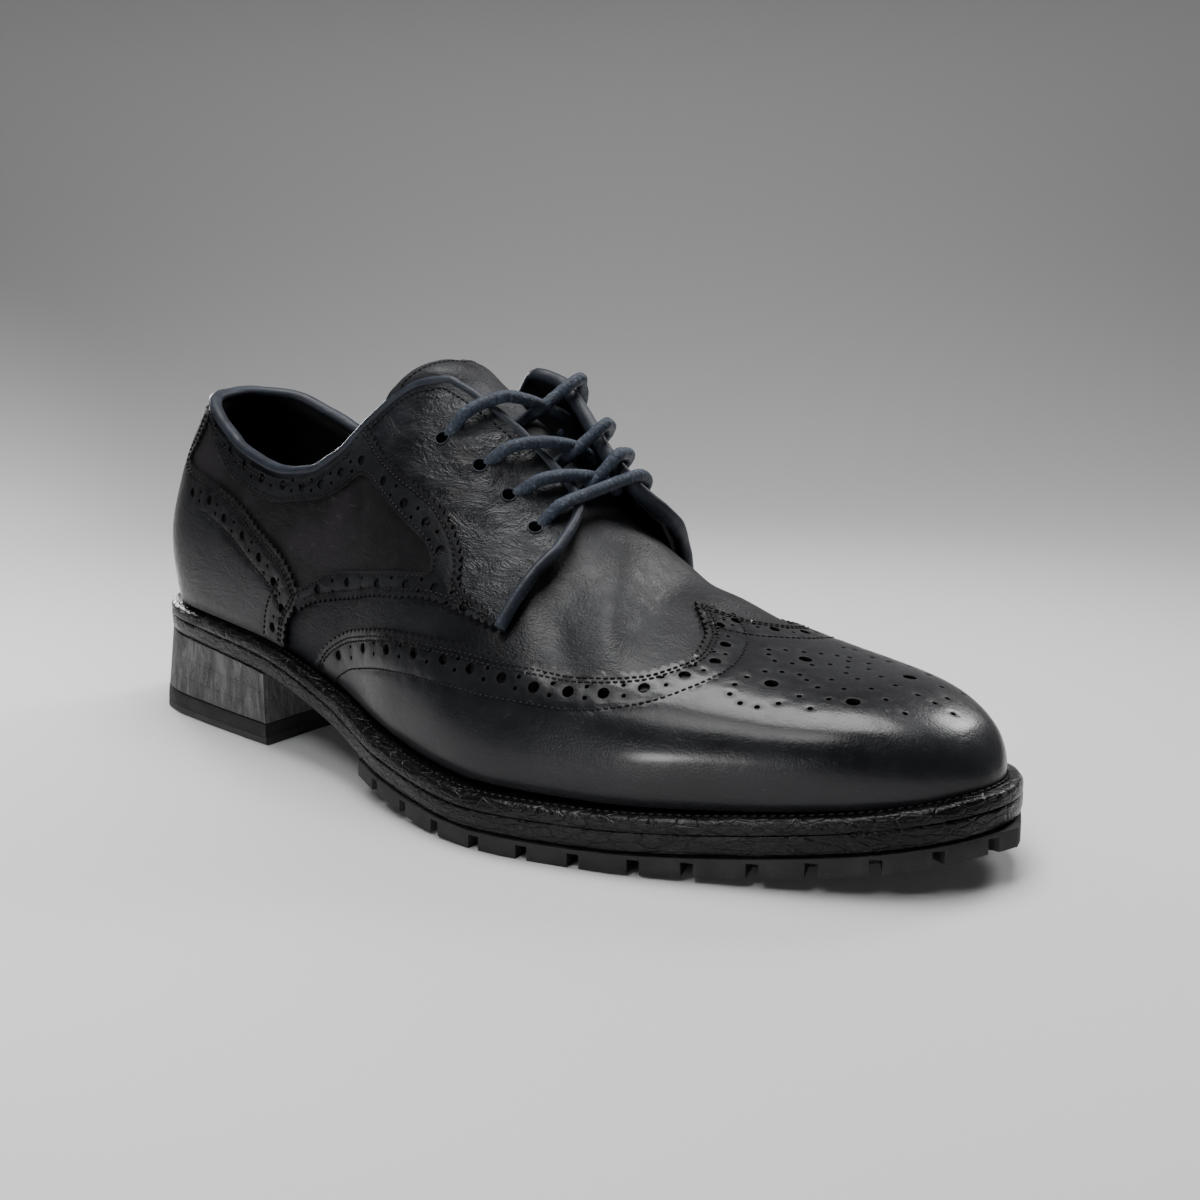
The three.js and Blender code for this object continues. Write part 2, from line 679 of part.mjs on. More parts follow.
// Lugs: notches round the half sole's edge, and grooves across the middle of its tread.
function tread() {
  const foot = (at) => midsoleFoot(at) - treadThickness;
  const top = (at) => midsoleFoot(at) - clearance;
  let solid = slab({ from: treadFrom, margin: treadMargin, top, foot });
  const edge = (side, at) =>
    new THREE.Vector3(at * soleLength, swing(at) + side * halfWidth(side, at), foot(at));
  const start = alongOf(1, treadFrom);
  const around = steps(240).map((t) => {
    const along = mix(-start, -start + 2 * (start - 1), t);
    const lateral = along >= -1;
    return edge(lateral ? -1 : 1, shareOf(lateral ? along : 2 + along));
  });
  let walked = 0;
  let next = lugStart;
  for (let i = 1; i < around.length - 1; i += 1) {
    walked += around[i].distanceTo(around[i - 1]);
    if (walked < next) continue;
    next += lugPitch;
    const run = around[i + 1].clone().sub(around[i - 1]);
    const cut = new THREE.BoxGeometry(lugGap, 2 * lugReach, 2 * lugDepth);
    cut.rotateZ(Math.atan2(run.y, run.x)).translate(...around[i].toArray());
    solid = solid.subtract(solidFrom(cut.attributes.position.array, Array.from(cut.index.array)));
  }
  const rows = Math.floor(((1 - treadFrom) * soleLength) / lugPitch) - 1;
  for (let i = 1; i < rows; i += 1) {
    const at = treadFrom + ((i + 0.5) * lugPitch) / soleLength;
    const [left, right] = [-1, 1].map((side) => edge(side, at).y - side * (lugReach + lugGap));
    if (right - left < lugReach) continue;
    const cut = new THREE.BoxGeometry(lugGap, right - left, 2 * lugDepth);
    cut.translate(at * soleLength, (left + right) / 2, foot(at));
    solid = solid.subtract(solidFrom(cut.attributes.position.array, Array.from(cut.index.array)));
  }
  return solid;
}

// The lace's outer runs: out of an eyelet, over its own facing's binding and down to the other
// side. The lowest one crosses as a bar, over both bindings.
function overFacing(side, row, advance) {
  const end = alongOf(side, row.at + advance);
  const start = quarterSkin + laceRadius + clearance;
  const rise = bindingRadius + laceRadius + 3 * clearance + raised(end);
  const points = steps(4).map((t) => {
    const along = mix(alongOf(side, row.at), end, t);
    return quarter(along, mix(row.up + 0.01, quarterTop(along), t), mix(start, rise, ease(2 * t)));
  });
  const [before, last] = points.slice(-2);
  const ahead = last.clone().sub(before).normalize();
  return [...points, last.clone().addScaledVector(ahead, 2 * bindingRadius + clearance)];
}
function laceRun(side, row) {
  const over = overFacing(side, row, laceAdvance);
  const last = over[over.length - 1];
  const along = alongOf(-side, row.at + laceAdvance);
  const under = quarter(along, quarterTop(along), -wall);
  const across = steps(4).slice(1).map((t) => last.clone().lerp(under, laceDown * t));
  return [...over, ...across];
}
const barAdvance = 0.005;
const laceBar = (row) => [
  ...overFacing(-1, row, barAdvance),
  ...overFacing(1, row, barAdvance).reverse(),
];

const upper = eyelets.reduce(
  (solid, row) => solid.subtract(eyeletHole(-1, row)).subtract(eyeletHole(1, row)),
  quarterShell().add(vampShell()),
);

const looks = {
  leather: { color: 0x25262b, roughness: 0.42, metalness: 0 },
  lining: { color: 0x1b1c20, roughness: 0.6, metalness: 0 },
  binding: { color: 0x2e3646, roughness: 0.5, metalness: 0 },
  edge: { color: 0x161619, roughness: 0.3, metalness: 0 },
  stack: { color: 0x4a4a4c, roughness: 0.8, metalness: 0 },
  rubber: { color: 0x121214, roughness: 0.85, metalness: 0 },
  lace: { color: 0x28344c, roughness: 0.6, metalness: 0 },
};
const group = new THREE.Group();
function add(name, solid, look) {
  const mesh = whole(solid).simplify(sliver).getMesh();
  const geometry = new THREE.BufferGeometry();
  geometry.setAttribute("position", new THREE.BufferAttribute(mesh.vertProperties, 3));
  geometry.setIndex(new THREE.BufferAttribute(mesh.triVerts, 1));
  geometry.computeVertexNormals();
  const piece = new THREE.Mesh(geometry, new THREE.MeshStandardMaterial(looks[look]));
  piece.name = name;
  group.add(piece);
}

const onVamp = [clearance, clearance + overlaySkin];
const onQuarter = onVamp.map((off) => off + quarterSkin);
const heelEnd = heelLength / soleLength;
const heel = (top, foot) => slab({ to: heelEnd, top, foot, flared: true, count: 14 });

add("upper", upper, "leather");
add("toe_cap", vampLayer(...onVamp).intersect(wingBlock()), "leather");
add("heel_counter", quarterLayer(...onQuarter).intersect(counterBlock()), "leather");
const besideCounter = counterBlock(0.004);
for (const side of [-1, 1]) {
  const block = stripBlock(side, bandLine, bandWidth / 2, 24);
  const band = quarterLayer(...onQuarter).intersect(block).subtract(besideCounter);
  add(side < 0 ? "quarter_band_lateral" : "quarter_band_medial", band, "leather");
}
add("collar_binding", binding(), "binding");
add("tongue", tongue(), "leather");
add("insole", insole(), "lining");
add("welt", weltRing(), "edge");
add("midsole", slab({ top: (at) => midsoleTop(at) - clearance, foot: midsoleFoot }), "edge");
add("outsole_tread", tread(), "rubber");
add("heel_stack", heel((at) => midsoleFoot(at) - clearance, () => topPieceHeight + clearance), "stack");
add("heel_top_piece", heel(() => topPieceHeight, () => 0), "rubber");
eyelets.forEach((row, i) => {
  const lowest = i === eyelets.length - 1;
  const paths = lowest ? [laceBar(row)] : [laceRun(-1, row), laceRun(1, row)];
  const runs = paths.map((points) => tube(points, laceRadius, 6));
  add(lowest ? "lace_bar" : `lace_cross_${i + 1}`, runs.reduce((a, b) => a.add(b)), "lace");
});

// The origin goes to the middle of the bounding box's foot.
const box = new THREE.Box3().setFromObject(group);
const middle = box.getCenter(new THREE.Vector3());
group.position.set(-middle.x, -middle.y, -box.min.z);

export default group;
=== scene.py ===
"""A right full brogue derby in dark leather on a pale studio floor.

The shoe's form is one function of two shares: along goes round the last from the toe by the outer
side to the heel (0) and back to the toe, up goes from the welt (0) over the ridge (1). The
leather pieces are sheets on that form, cut to their outlines with real punched holes and pinked
edges."""

import math

import bmesh
import bpy
import numpy as np
from bpy.props import FloatProperty, FloatVectorProperty, PointerProperty
from mathutils import Euler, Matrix, Vector, geometry, noise


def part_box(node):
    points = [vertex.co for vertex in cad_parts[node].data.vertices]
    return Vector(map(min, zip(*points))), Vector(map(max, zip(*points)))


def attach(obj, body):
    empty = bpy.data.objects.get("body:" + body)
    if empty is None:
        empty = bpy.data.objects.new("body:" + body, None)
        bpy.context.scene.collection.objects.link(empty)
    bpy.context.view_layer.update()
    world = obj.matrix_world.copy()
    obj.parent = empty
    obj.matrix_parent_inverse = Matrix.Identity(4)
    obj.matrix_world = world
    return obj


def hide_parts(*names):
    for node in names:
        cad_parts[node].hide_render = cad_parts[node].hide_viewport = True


bl_info = {
    "name": "Full brogue derby",
    "version": (1, 0, 0),
    "blender": (4, 5, 0),
    "location": "View3D > Sidebar > Brogue",
    "description": "Builds a full brogue derby shoe on its solid model",
    "category": "Object",
}

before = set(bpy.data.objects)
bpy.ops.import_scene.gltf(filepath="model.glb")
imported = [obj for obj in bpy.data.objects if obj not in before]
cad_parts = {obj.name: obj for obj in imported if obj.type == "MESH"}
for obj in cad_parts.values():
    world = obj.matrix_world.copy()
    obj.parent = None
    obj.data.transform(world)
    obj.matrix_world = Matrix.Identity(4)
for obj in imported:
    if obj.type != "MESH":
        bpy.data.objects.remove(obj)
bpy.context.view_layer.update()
MM = 0.001

# The form's own sizes, in millimetres, and its tables of shares, as in the solid model.
SOLE_LENGTH = 300
BALL_WIDTH = 107
TOE_SWING = 5
TOE_SPRING = 9
WELT_THICKNESS = 3.6
MIDSOLE_THICKNESS = 5.3
TREAD_THICKNESS = 5
HEEL_HEIGHT = 26
HEEL_LENGTH = 79
HEEL_FLARE = 4.5
WELT_MARGIN = 7
HEEL_MARGIN = 3
TOE_MARGIN = 5
INSTEP_HEIGHT = 98
BACK_HEIGHT = 66
TONGUE_WIDTH = 66
TONGUE_FOOT_SHARE = 0.6
TONGUE_FOOT_AT = 0.62
BINDING_RADIUS = 1.6
QUARTER_SKIN = 1.2

# at, outer half width, inner half width
OUTLINE = (
    (0.03, 0.186, 0.178),
    (0.08, 0.27, 0.266),
    (0.16, 0.312, 0.31),
    (0.26, 0.35, 0.295),
    (0.38, 0.395, 0.272),
    (0.5, 0.505, 0.325),
    (0.62, 0.562, 0.43),
    (0.74, 0.5, 0.48),
    (0.84, 0.395, 0.44),
    (0.92, 0.295, 0.31),
    (0.97, 0.195, 0.19),
)
# at, share of the heel's rise, share of the toe's spring
SEAT_LINE = (
    (0, 1, 0),
    (0.12, 0.95, 0),
    (0.26, 0.83, 0),
    (0.42, 0.33, 0),
    (0.55, 0.07, 0),
    (0.63, 0, 0),
    (0.71, 0, 0),
    (0.8, 0, 0.12),
    (0.92, 0, 0.54),
    (1, 0, 1),
)
# at, height, shift, belly, wall, crown
SECTIONS = (
    (0, 1, 0, 0.03, 0.5, 0.35),
    (0.1, 1, 0, 0.03, 0.5, 0.4),
    (0.25, 1, 0.005, 0.02, 0.5, 0.5),
    (0.38, 0.97, 0.015, 0.02, 0.42, 0.55),
    (0.44, 0.96, 0.025, 0.02, 0.4, 0.62),
    (0.5, 0.88, 0.035, 0.02, 0.4, 0.62),
    (0.57, 0.69, 0.04, 0.025, 0.42, 0.66),
    (0.65, 0.515, 0.03, 0.03, 0.48, 0.74),
    (0.75, 0.355, 0.015, 0.035, 0.6, 0.86),
    (0.85, 0.27, 0, 0.035, 0.7, 0.92),
    (0.92, 0.225, 0, 0.03, 0.72, 0.9),
    (0.97, 0.155, 0, 0.025, 0.72, 0.8),
)
# share of the collar's height, lean forward
BACK_LINE = ((0, 0.05), (0.3, 0), (0.6, 0.1), (1, 0.33), (1.5, 0.5))
BACK_LINE_ENDS = 0.3
# at, rise as a share of the collar's height at the back
COLLAR_LINE = (
    (0, 1),
    (0.05, 0.98),
    (0.12, 0.9),
    (0.2, 0.8),
    (0.26, 0.77),
    (0.31, 0.82),
    (0.354, 0.97),
    (0.39, 1.19),
    (0.42, 1.31),
    (0.453, 1.35),
)
# The inner side's collar, where it differs: it drops behind the facing's top corner.
MEDIAL_COLLAR_LINE = (
    *COLLAR_LINE[:7],
    (0.39, 1.08),
    (0.42, 1.1),
    (0.438, 1.19),
    (0.453, 1.29),
)
# at, up
FACING_LINE = (
    (0.453, 0.828),
    (0.48, 0.842),
    (0.505, 0.855),
    (0.533, 0.885),
    (0.555, 0.91),
    (0.575, 0.92),
    (0.59, 0.9),
    (0.602, 0.84),
    (0.61, 0.75),
)
# The inner facing stands up, so that its edge lies further from the ridge.
MEDIAL_FACING_LINE = (
    (0.453, 0.76),
    (0.48, 0.785),
    (0.505, 0.815),
    (0.533, 0.85),
    (0.555, 0.885),
    (0.575, 0.905),
    (0.59, 0.89),
    *FACING_LINE[-2:],
)
QUARTER_FOOT = (
    (0.285, 0),
    (0.3, 0.06),
    (0.32, 0.12),
    (0.374, 0.2),
    (0.43, 0.262),
    (0.486, 0.32),
    (0.548, 0.405),
    (0.61, 0.469),
)
# up, at
VAMP_BACK = ((0, 0.24), (0.3, 0.3), (0.45, 0.42), (0.6, 0.53), (1, 0.565))
WING_EDGE = (
    (0, 0.335),
    (0.06, 0.351),
    (0.15, 0.396),
    (0.225, 0.466),
    (0.285, 0.523),
    (0.355, 0.576),
    (0.42, 0.632),
    (0.49, 0.69),
    (0.56, 0.723),
    (0.65, 0.748),
    (0.78, 0.76),
    (0.9, 0.747),
    (1, 0.707),
)
# share of the collar's height, at
COUNTER_FRONT = (
    (0, 0.287),
    (0.12, 0.293),
    (0.23, 0.309),
    (0.3, 0.317),
    (0.35, 0.309),
    (0.42, 0.29),
    (0.5, 0.245),
    (0.58, 0.205),
    (0.65, 0.14),
    (0.69, 0.08),
    (0.73, 0.062),
    (0.8, 0.074),
    (0.94, 0.085),
)
# at, how far the facing's edge is lifted off the form in millimetres: outer side and inner side
LATERAL_LIFT = ((0.4, 0), (0.45, 1), (0.5, 2), (0.54, 1.7), (0.6, 0.9), (0.69, 0))
MEDIAL_LIFT = (
    (0.4, 0),
    (0.425, 3),
    (0.453, 10.5),
    (0.48, 11.5),
    (0.505, 9.5),
    (0.533, 8.2),
    (0.575, 7.5),
    (0.6, 5.5),
    (0.65, 1.6),
    (0.69, 0),
)
# out as a share of the tongue's half width, at
TONGUE_LINE = ((0, 0.42), (0.3, 0.413), (0.5, 0.397), (0.62, 0.387), (0.72, 0.383), (1, 0.375))
# share of the half width, how far the top stands above where the tongue lies under the facings
TONGUE_STAND = ((0, 1.2), (0.2, 3), (0.4, 5), (0.6, 4.4), (1, 3))
EYELETS = {
    -1: ((0.479, 0.688), (0.521, 0.717), (0.552, 0.743), (0.585, 0.752)),
    1: ((0.479, 0.63), (0.521, 0.685), (0.552, 0.73), (0.585, 0.75)),
}

# The quarter's perforated band, at and up: its edge towards the collar and the facing, and the
# edge of the plain panel inside it.
BAND_FRONT = (
    (0.36, 0.60),
    (0.385, 0.59),
    (0.408, 0.57),
    (0.433, 0.556),
    (0.456, 0.55),
    (0.478, 0.555),
    (0.5, 0.56),
    (0.525, 0.552),
    (0.543, 0.53),
    (0.551, 0.5),
    (0.557, 0.473),
    (0.58, 0.478),
    (0.608, 0.485),
)
PANEL_EDGE = (
    (0.09, 0.46),
    (0.112, 0.415),
    (0.137, 0.374),
    (0.167, 0.336),
    (0.202, 0.311),
    (0.237, 0.3),
    (0.267, 0.3),
    (0.292, 0.319),
    (0.319, 0.35),
    (0.341, 0.381),
    (0.361, 0.419),
    (0.376, 0.456),
    (0.389, 0.487),
    (0.396, 0.494),
    (0.408, 0.494),
    (0.436, 0.481),
    (0.463, 0.469),
    (0.483, 0.469),
    (0.5, 0.469),
    (0.513, 0.463),
    (0.52, 0.431),
    (0.505, 0.4),
    (0.486, 0.375),
    (0.448, 0.331),
    (0.406, 0.294),
    (0.371, 0.256),
    (0.341, 0.206),
    (0.314, 0.156),
    (0.3, 0.13),
)
COLLAR_HOLES = (
    (0.137, 0.419),
    (0.167, 0.381),
    (0.202, 0.356),
    (0.239, 0.338),
    (0.279, 0.344),
    (0.309, 0.369),
    (0.336, 0.406),
    (0.361, 0.463),
    (0.386, 0.519),
)
FACING_HOLES = ((0.431, 0.512), (0.468, 0.5), (0.5, 0.506), (0.525, 0.487))
LOWER_HOLES = (
    (0.349, 0.194),
    (0.399, 0.263),
    (0.456, 0.312),
    (0.498, 0.362),
    (0.533, 0.412),
    (0.57, 0.445),
)
COUNTER_HOLES = (
    (0.098, 0.57),
    (0.14, 0.56),
    (0.175, 0.5),
    (0.214, 0.45),
    (0.247, 0.38),
    (0.274, 0.3),
    (0.288, 0.2),
    (0.27, 0.09),
)
WING_HOLES = (
    (0.384, 0.087),
    (0.436, 0.156),
    (0.481, 0.2),
    (0.523, 0.244),
    (0.563, 0.294),
    (0.597, 0.325),
    (0.632, 0.356),
    (0.665, 0.375),
    (0.695, 0.412),
    (0.724, 0.463),
    (0.752, 0.55),
    (0.772, 0.675),
    (0.779, 0.8),
    (0.767, 0.9),
    (0.742, 0.969),
)
# The toe's medallion: at, millimetres from the ridge towards the inner side.
MEDALLION_BIG = (
    (0.834, -18.5),
    (0.824, 0.5),
    (0.903, -15),
    (0.904, 10.5),
)
MEDALLION_SMALL = (
    (0.794, -3),
    (0.802, 1),
    (0.813, 4.5),
    (0.8, -5.5),
    (0.811, -7.5),
    (0.823, 8),
    (0.833, 11),
    (0.82, 20),
    (0.827, 22),
    (0.841, 13),
    (0.847, 9.5),
    (0.823, -5),
    (0.835, -1.5),
    (0.843, 3),
    (0.856, 5),
    (0.864, 0.5),
    (0.818, -14.5),
    (0.828, -11.5),
    (0.841, -9.5),
    (0.813, -20),
    (0.812, -24.5),
    (0.816, -28),
    (0.851, -11),
    (0.865, -6.5),
    (0.879, -1.5),
    (0.829, -29),
    (0.843, -28),
    (0.855, -24.5),
    (0.863, -19.5),
    (0.866, -13),
    (0.885, -17),
    (0.88, -22.5),
    (0.884, -10),
    (0.9, -5.5),
    (0.889, 4.5),
    (0.909, 1),
    (0.92, -9),
    (0.931, 0),
    (0.941, -11),
    (0.946, 0),
    (0.946, 6),
    (0.962, 0),
    (0.93, 12),
    (0.903, 20),
    (0.878, 24),
    (0.915, 22),
    (0.942, 16),
    (0.83, 29),
    (0.849, 20),
    (0.86, 13),
    (0.87, 8),
    (0.863, 21),
    (0.846, 28),
)

# Soft creases of the vamp, as worn by walking: at and across at both ends, width and depth in mm.
# across goes from the outer welt (0) over the ridge (1) to the inner welt (2).
CREASES = (
    ((0.6, 0.72), (0.685, 0.5), 5.0, 1.9),
    ((0.6, 0.86), (0.66, 0.66), 4.2, 1.4),
    ((0.64, 0.98), (0.705, 0.62), 4.2, -1.1),
    ((0.655, 1.2), (0.725, 0.72), 5.2, 1.7),
    ((0.575, 0.6), (0.64, 0.42), 4.5, 1.2),
    ((0.6, 0.5), (0.66, 0.37), 4.5, -0.8),
    ((0.65, 1.5), (0.69, 1.1), 5.5, 1.3),
)


def sizes():
    """The sizes that a user would change."""
    return bpy.context.scene.brogue_sizes


def curve(x, y):
    """A monotone cubic through the points, as a function of arrays."""
    x, y = np.asarray(x, float), np.asarray(y, float)
    step = np.diff(x)
    slope = np.diff(y) / step
    tangent = np.concatenate(([slope[0]], np.zeros(len(x) - 2), [slope[-1]]))
    before, after = slope[:-1], slope[1:]
    same = before * after > 0
    w1 = 2 * step[1:] + step[:-1]
    w2 = step[1:] + 2 * step[:-1]
    tangent[1:-1][same] = (w1 + w2)[same] / (w1[same] / before[same] + w2[same] / after[same])

    def at(value):
        t = np.clip(value, x[0], x[-1])
        i = np.clip(np.searchsorted(x, t, "right") - 1, 0, len(x) - 2)
        q = (t - x[i]) / step[i]
        rise = y[i + 1] - y[i]
        a, b = tangent[i] * step[i], tangent[i + 1] * step[i]
        return y[i] + q * (a + q * (3 * rise - 2 * a - b + q * (a + b - 2 * rise)))

    return at


def column(rows, index):
    return curve([row[0] for row in rows], [row[index] for row in rows])


def round_ended(rows, index, is_open=False):
    """As column, but the value comes down to zero at the toe, and at the heel, as a circle does."""
    x = [row[0] for row in rows]
    y = [row[index] ** 2 for row in rows]
    if not is_open:
        x, y = [0, *x], [0, *y]
    square = curve([*x, 1], [*y, 0])
    return lambda at: np.sqrt(np.maximum(0, square(at)))


lateral_width = round_ended(OUTLINE, 1)
medial_width = round_ended(OUTLINE, 2)
seat_share = column(SEAT_LINE, 1)
spring_share = column(SEAT_LINE, 2)
section_height = round_ended(SECTIONS, 1, is_open=True)
section_shift = column(SECTIONS, 2)
section_belly = column(SECTIONS, 3)
section_wall = column(SECTIONS, 4)
section_crown = column(SECTIONS, 5)
lean_share = column(BACK_LINE, 1)
collar_share = {-1: column(COLLAR_LINE, 1), 1: column(MEDIAL_COLLAR_LINE, 1)}
facing_up = {-1: column(FACING_LINE, 1), 1: column(MEDIAL_FACING_LINE, 1)}
foot_up = column(QUARTER_FOOT, 1)
vamp_back = column(VAMP_BACK, 1)
wing_at = column(WING_EDGE, 1)
counter_at = column(COUNTER_FRONT, 1)
tongue_at = column(TONGUE_LINE, 1)
tongue_stand = column(TONGUE_STAND, 1)
lateral_lift = column(LATERAL_LIFT, 1)
medial_lift = column(MEDIAL_LIFT, 1)

FORE_STACK = TREAD_THICKNESS + MIDSOLE_THICKNESS + WELT_THICKNESS
HEEL_STACK = HEEL_HEIGHT + MIDSOLE_THICKNESS + WELT_THICKNESS
FORM_LENGTH = SOLE_LENGTH - HEEL_MARGIN - TOE_MARGIN
FORM_SHARE = 1 - 2 * WELT_MARGIN / BALL_WIDTH
SLIM_END = 0.2


def ease(value):
    t = np.clip(value, 0, 1)
    return t * t * (3 - 2 * t)


def mix(a, b, t):
    return a + (b - a) * t


def half_width(side, at):
    return BALL_WIDTH * np.where(side < 0, lateral_width(at), medial_width(at))


def swing(at):
    return TOE_SWING * ease((at - 0.5) / 0.5)


def welt_top(at):
    return FORE_STACK + (HEEL_STACK - FORE_STACK) * seat_share(at) + TOE_SPRING * spring_share(at)


def midsole_top(at):
    return welt_top(at) - WELT_THICKNESS


def midsole_foot(at):
    return midsole_top(at) - MIDSOLE_THICKNESS


def share_of(along):
    """The share of the form's length at an along."""
    return (1 - np.cos(np.pi * np.minimum(np.abs(along), 1))) / 2


def along_of(at):
    """The along that lies at a share of the form's length."""
    return np.arccos(1 - 2 * np.asarray(at, float)) / np.pi


def sole_share(at):
    return (HEEL_MARGIN + at * FORM_LENGTH) / SOLE_LENGTH


def bezier(a, b, c, d, t):
    return a * (1 - t) ** 3 + 3 * b * t * (1 - t) ** 2 + 3 * c * t * t * (1 - t) + d * t**3


def form(along, up):
    """Points of the last's surface, in millimetres from the back of the sole."""
    along, up = np.broadcast_arrays(np.asarray(along, float), np.asarray(up, float))
    side = np.where(along < 0, -1, 1) * np.where(up > 1, -1, 1)
    t = np.where(up > 1, 2 - up, up)
    at = share_of(along)
    half = FORM_SHARE * half_width(side, at)
    height = INSTEP_HEIGHT * section_height(at)
    middle = swing(sole_share(at))
    ridge = middle + BALL_WIDTH * section_shift(at) * ease((1 - at) / SLIM_END)
    belly = BALL_WIDTH * section_belly(at) * np.minimum(1, half / (SLIM_END * BALL_WIDTH))
    y = bezier(
        middle + side * half,
        middle + side * (half + belly),
        ridge + side * half * section_crown(at),
        ridge,
        t,
    )
    rise = bezier(0, height * section_wall(at), height, height, t)
    fade = np.maximum(0, 1 - at / BACK_LINE_ENDS) ** 2
    lean = BACK_HEIGHT * lean_share(rise / BACK_HEIGHT) * fade
    x = HEEL_MARGIN + at * FORM_LENGTH + lean
    return np.stack([x, y, welt_top(sole_share(at)) + rise], axis=-1)


PROBE = 1e-3
TIP_FROM = 0.955


def unit(v):
    return v / np.maximum(np.linalg.norm(v, axis=-1, keepdims=True), 1e-12)


def normal_at(along, up):
    along, up = np.broadcast_arrays(np.asarray(along, float), np.asarray(up, float))
    a = np.clip(along, -1 + 2 * PROBE, 1 - 2 * PROBE)
    lengthwise = form(a + PROBE, up) - form(a - PROBE, up)
    across = form(a, up + PROBE) - form(a, up - PROBE)
    normal = unit(np.cross(across, lengthwise))
    tip = ease((np.abs(along) - TIP_FROM) / (1 - TIP_FROM))[..., None]
    return unit(normal * (1 - tip) + np.array([1.0, 0, 0]) * tip)


def skin(along, up, off=0):
    """Points of the form moved outward by so many millimetres."""
    return form(along, up) + normal_at(along, up) * np.asarray(off, float)[..., None]


def up_where(along, measure, value):
    """The up at which a measure of the form's point reaches a value, by halving."""
    low = np.zeros(np.shape(along))
    high = np.ones(np.shape(along))
    for _ in range(26):
        middle = (low + high) / 2
        below = measure(form(along, middle)) < value
        low, high = np.where(below, middle, low), np.where(below, high, middle)
    return (low + high) / 2


def up_of_rise(along, rise):
    foot = welt_top(sole_share(share_of(along)))
    return up_where(along, lambda p: p[..., 2], foot + rise)


def up_of_out(along, out):
    side = np.where(along < 0, -1, 1)
    ridge = form(along, np.ones(np.shape(along)))[..., 1]
    return up_where(along, lambda p: -side * (p[..., 1] - ridge), -out)


FACING_TOP = FACING_LINE[0][0]
CORNER_AT = FACING_LINE[-1][0]
TOP_BLEND = 0.016
LIFT_REACH = 0.4

_alongs = np.linspace(0, along_of(FACING_TOP), 120)
_tops = {
    side: up_of_rise(side * _alongs, BACK_HEIGHT * collar_share[side](share_of(_alongs)))
    for side in (-1, 1)
}


def quarter_top(along):
    """How far up the quarters reach: the collar's rim, then the facing's edge."""
    at = share_of(along)
    rim = np.where(
        np.asarray(along) < 0,
        np.interp(np.abs(along), _alongs, _tops[-1]),
        np.interp(np.abs(along), _alongs, _tops[1]),
    )
    facing = np.where(np.asarray(along) < 0, facing_up[-1](at), facing_up[1](at))
    return mix(rim, facing, ease((at - FACING_TOP + TOP_BLEND) / (2 * TOP_BLEND)))


def quarter_low(along):
    at = share_of(along)
    return np.where(at <= QUARTER_FOOT[0][0], 0, foot_up(at))


def lift(along, up):
    at = share_of(along)
    most = np.where(np.asarray(along) < 0, lateral_lift(at), medial_lift(at))
    return most * ease((up - (quarter_top(along) - LIFT_REACH)) / LIFT_REACH)


def quarter(along, up, off=0):
    """The quarters' surface, with the facings lifted off the form."""
    return skin(along, up, off + lift(along, up))


def crease(at, across):
    """How far the vamp sinks (negative) or swells at a place, in millimetres."""
    place = np.stack([at * FORM_LENGTH, across * 70.0], axis=-1)
    total = np.zeros(np.shape(at))
    for start, end, width, depth in CREASES:
        a = np.array([start[0] * FORM_LENGTH, start[1] * 70.0])
        b = np.array([end[0] * FORM_LENGTH, end[1] * 70.0])
        t = np.clip(((place - a) @ (b - a)) / ((b - a) @ (b - a)), 0, 1)
        gap = np.linalg.norm(place - (a + t[..., None] * (b - a)), axis=-1)
        total -= depth * np.exp(-((gap / width) ** 2)) * (1 - 0.6 * np.abs(2 * t - 1) ** 2)
    return total


def vamp(along, across, off=0):
    """The vamp's surface: along runs by the outer side, across from welt to welt."""
    at = share_of(along)
    fade = ease((0.76 - at) / 0.05)
    return skin(-np.abs(along), across, off + crease(at, across) * fade)


sole_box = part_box("midsole")
_ats = np.linspace(0, 1, 400)
ORIGIN = np.array(
    [
        -sole_box[0].x / MM,
        -sole_box[0].y / MM + np.min(swing(_ats) - half_width(-1, _ats)),
        0.0,
    ]
)


def to_row(points):
    """Millimetres from the back of the sole to metres in the row frame."""
    return (np.asarray(points) - ORIGIN) * MM


# Meshes


def mesh_piece(name, points, faces, material, replaces=(), slot="leather", attributes=None):
    """A piece from points in millimetres and faces, placed, named and riding on the body."""
    mesh = bpy.data.meshes.new(name)
    mesh.from_pydata(to_row(points).tolist(), [], [list(map(int, f)) for f in faces])
    for key, values in (attributes or {}).items():
        layer = mesh.attributes.new(key, "FLOAT", "POINT")
        layer.data.foreach_set("value", np.asarray(values, np.float32))
    mesh.validate()
    mesh.update()
    piece = bpy.data.objects.new(name, mesh)
    bpy.context.scene.collection.objects.link(piece)
    mesh.materials.append(material)
    mesh.shade_smooth()
    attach(piece, "root")
    if replaces:
        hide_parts(*replaces)
    return piece


def smooth_by_angle(piece, degrees):
    """Keeps edges sharper than the angle crisp."""
    bpy.ops.object.select_all(action="DESELECT")
    piece.select_set(True)
    bpy.context.view_layer.objects.active = piece
    bpy.ops.object.shade_smooth_by_angle(angle=math.radians(degrees))


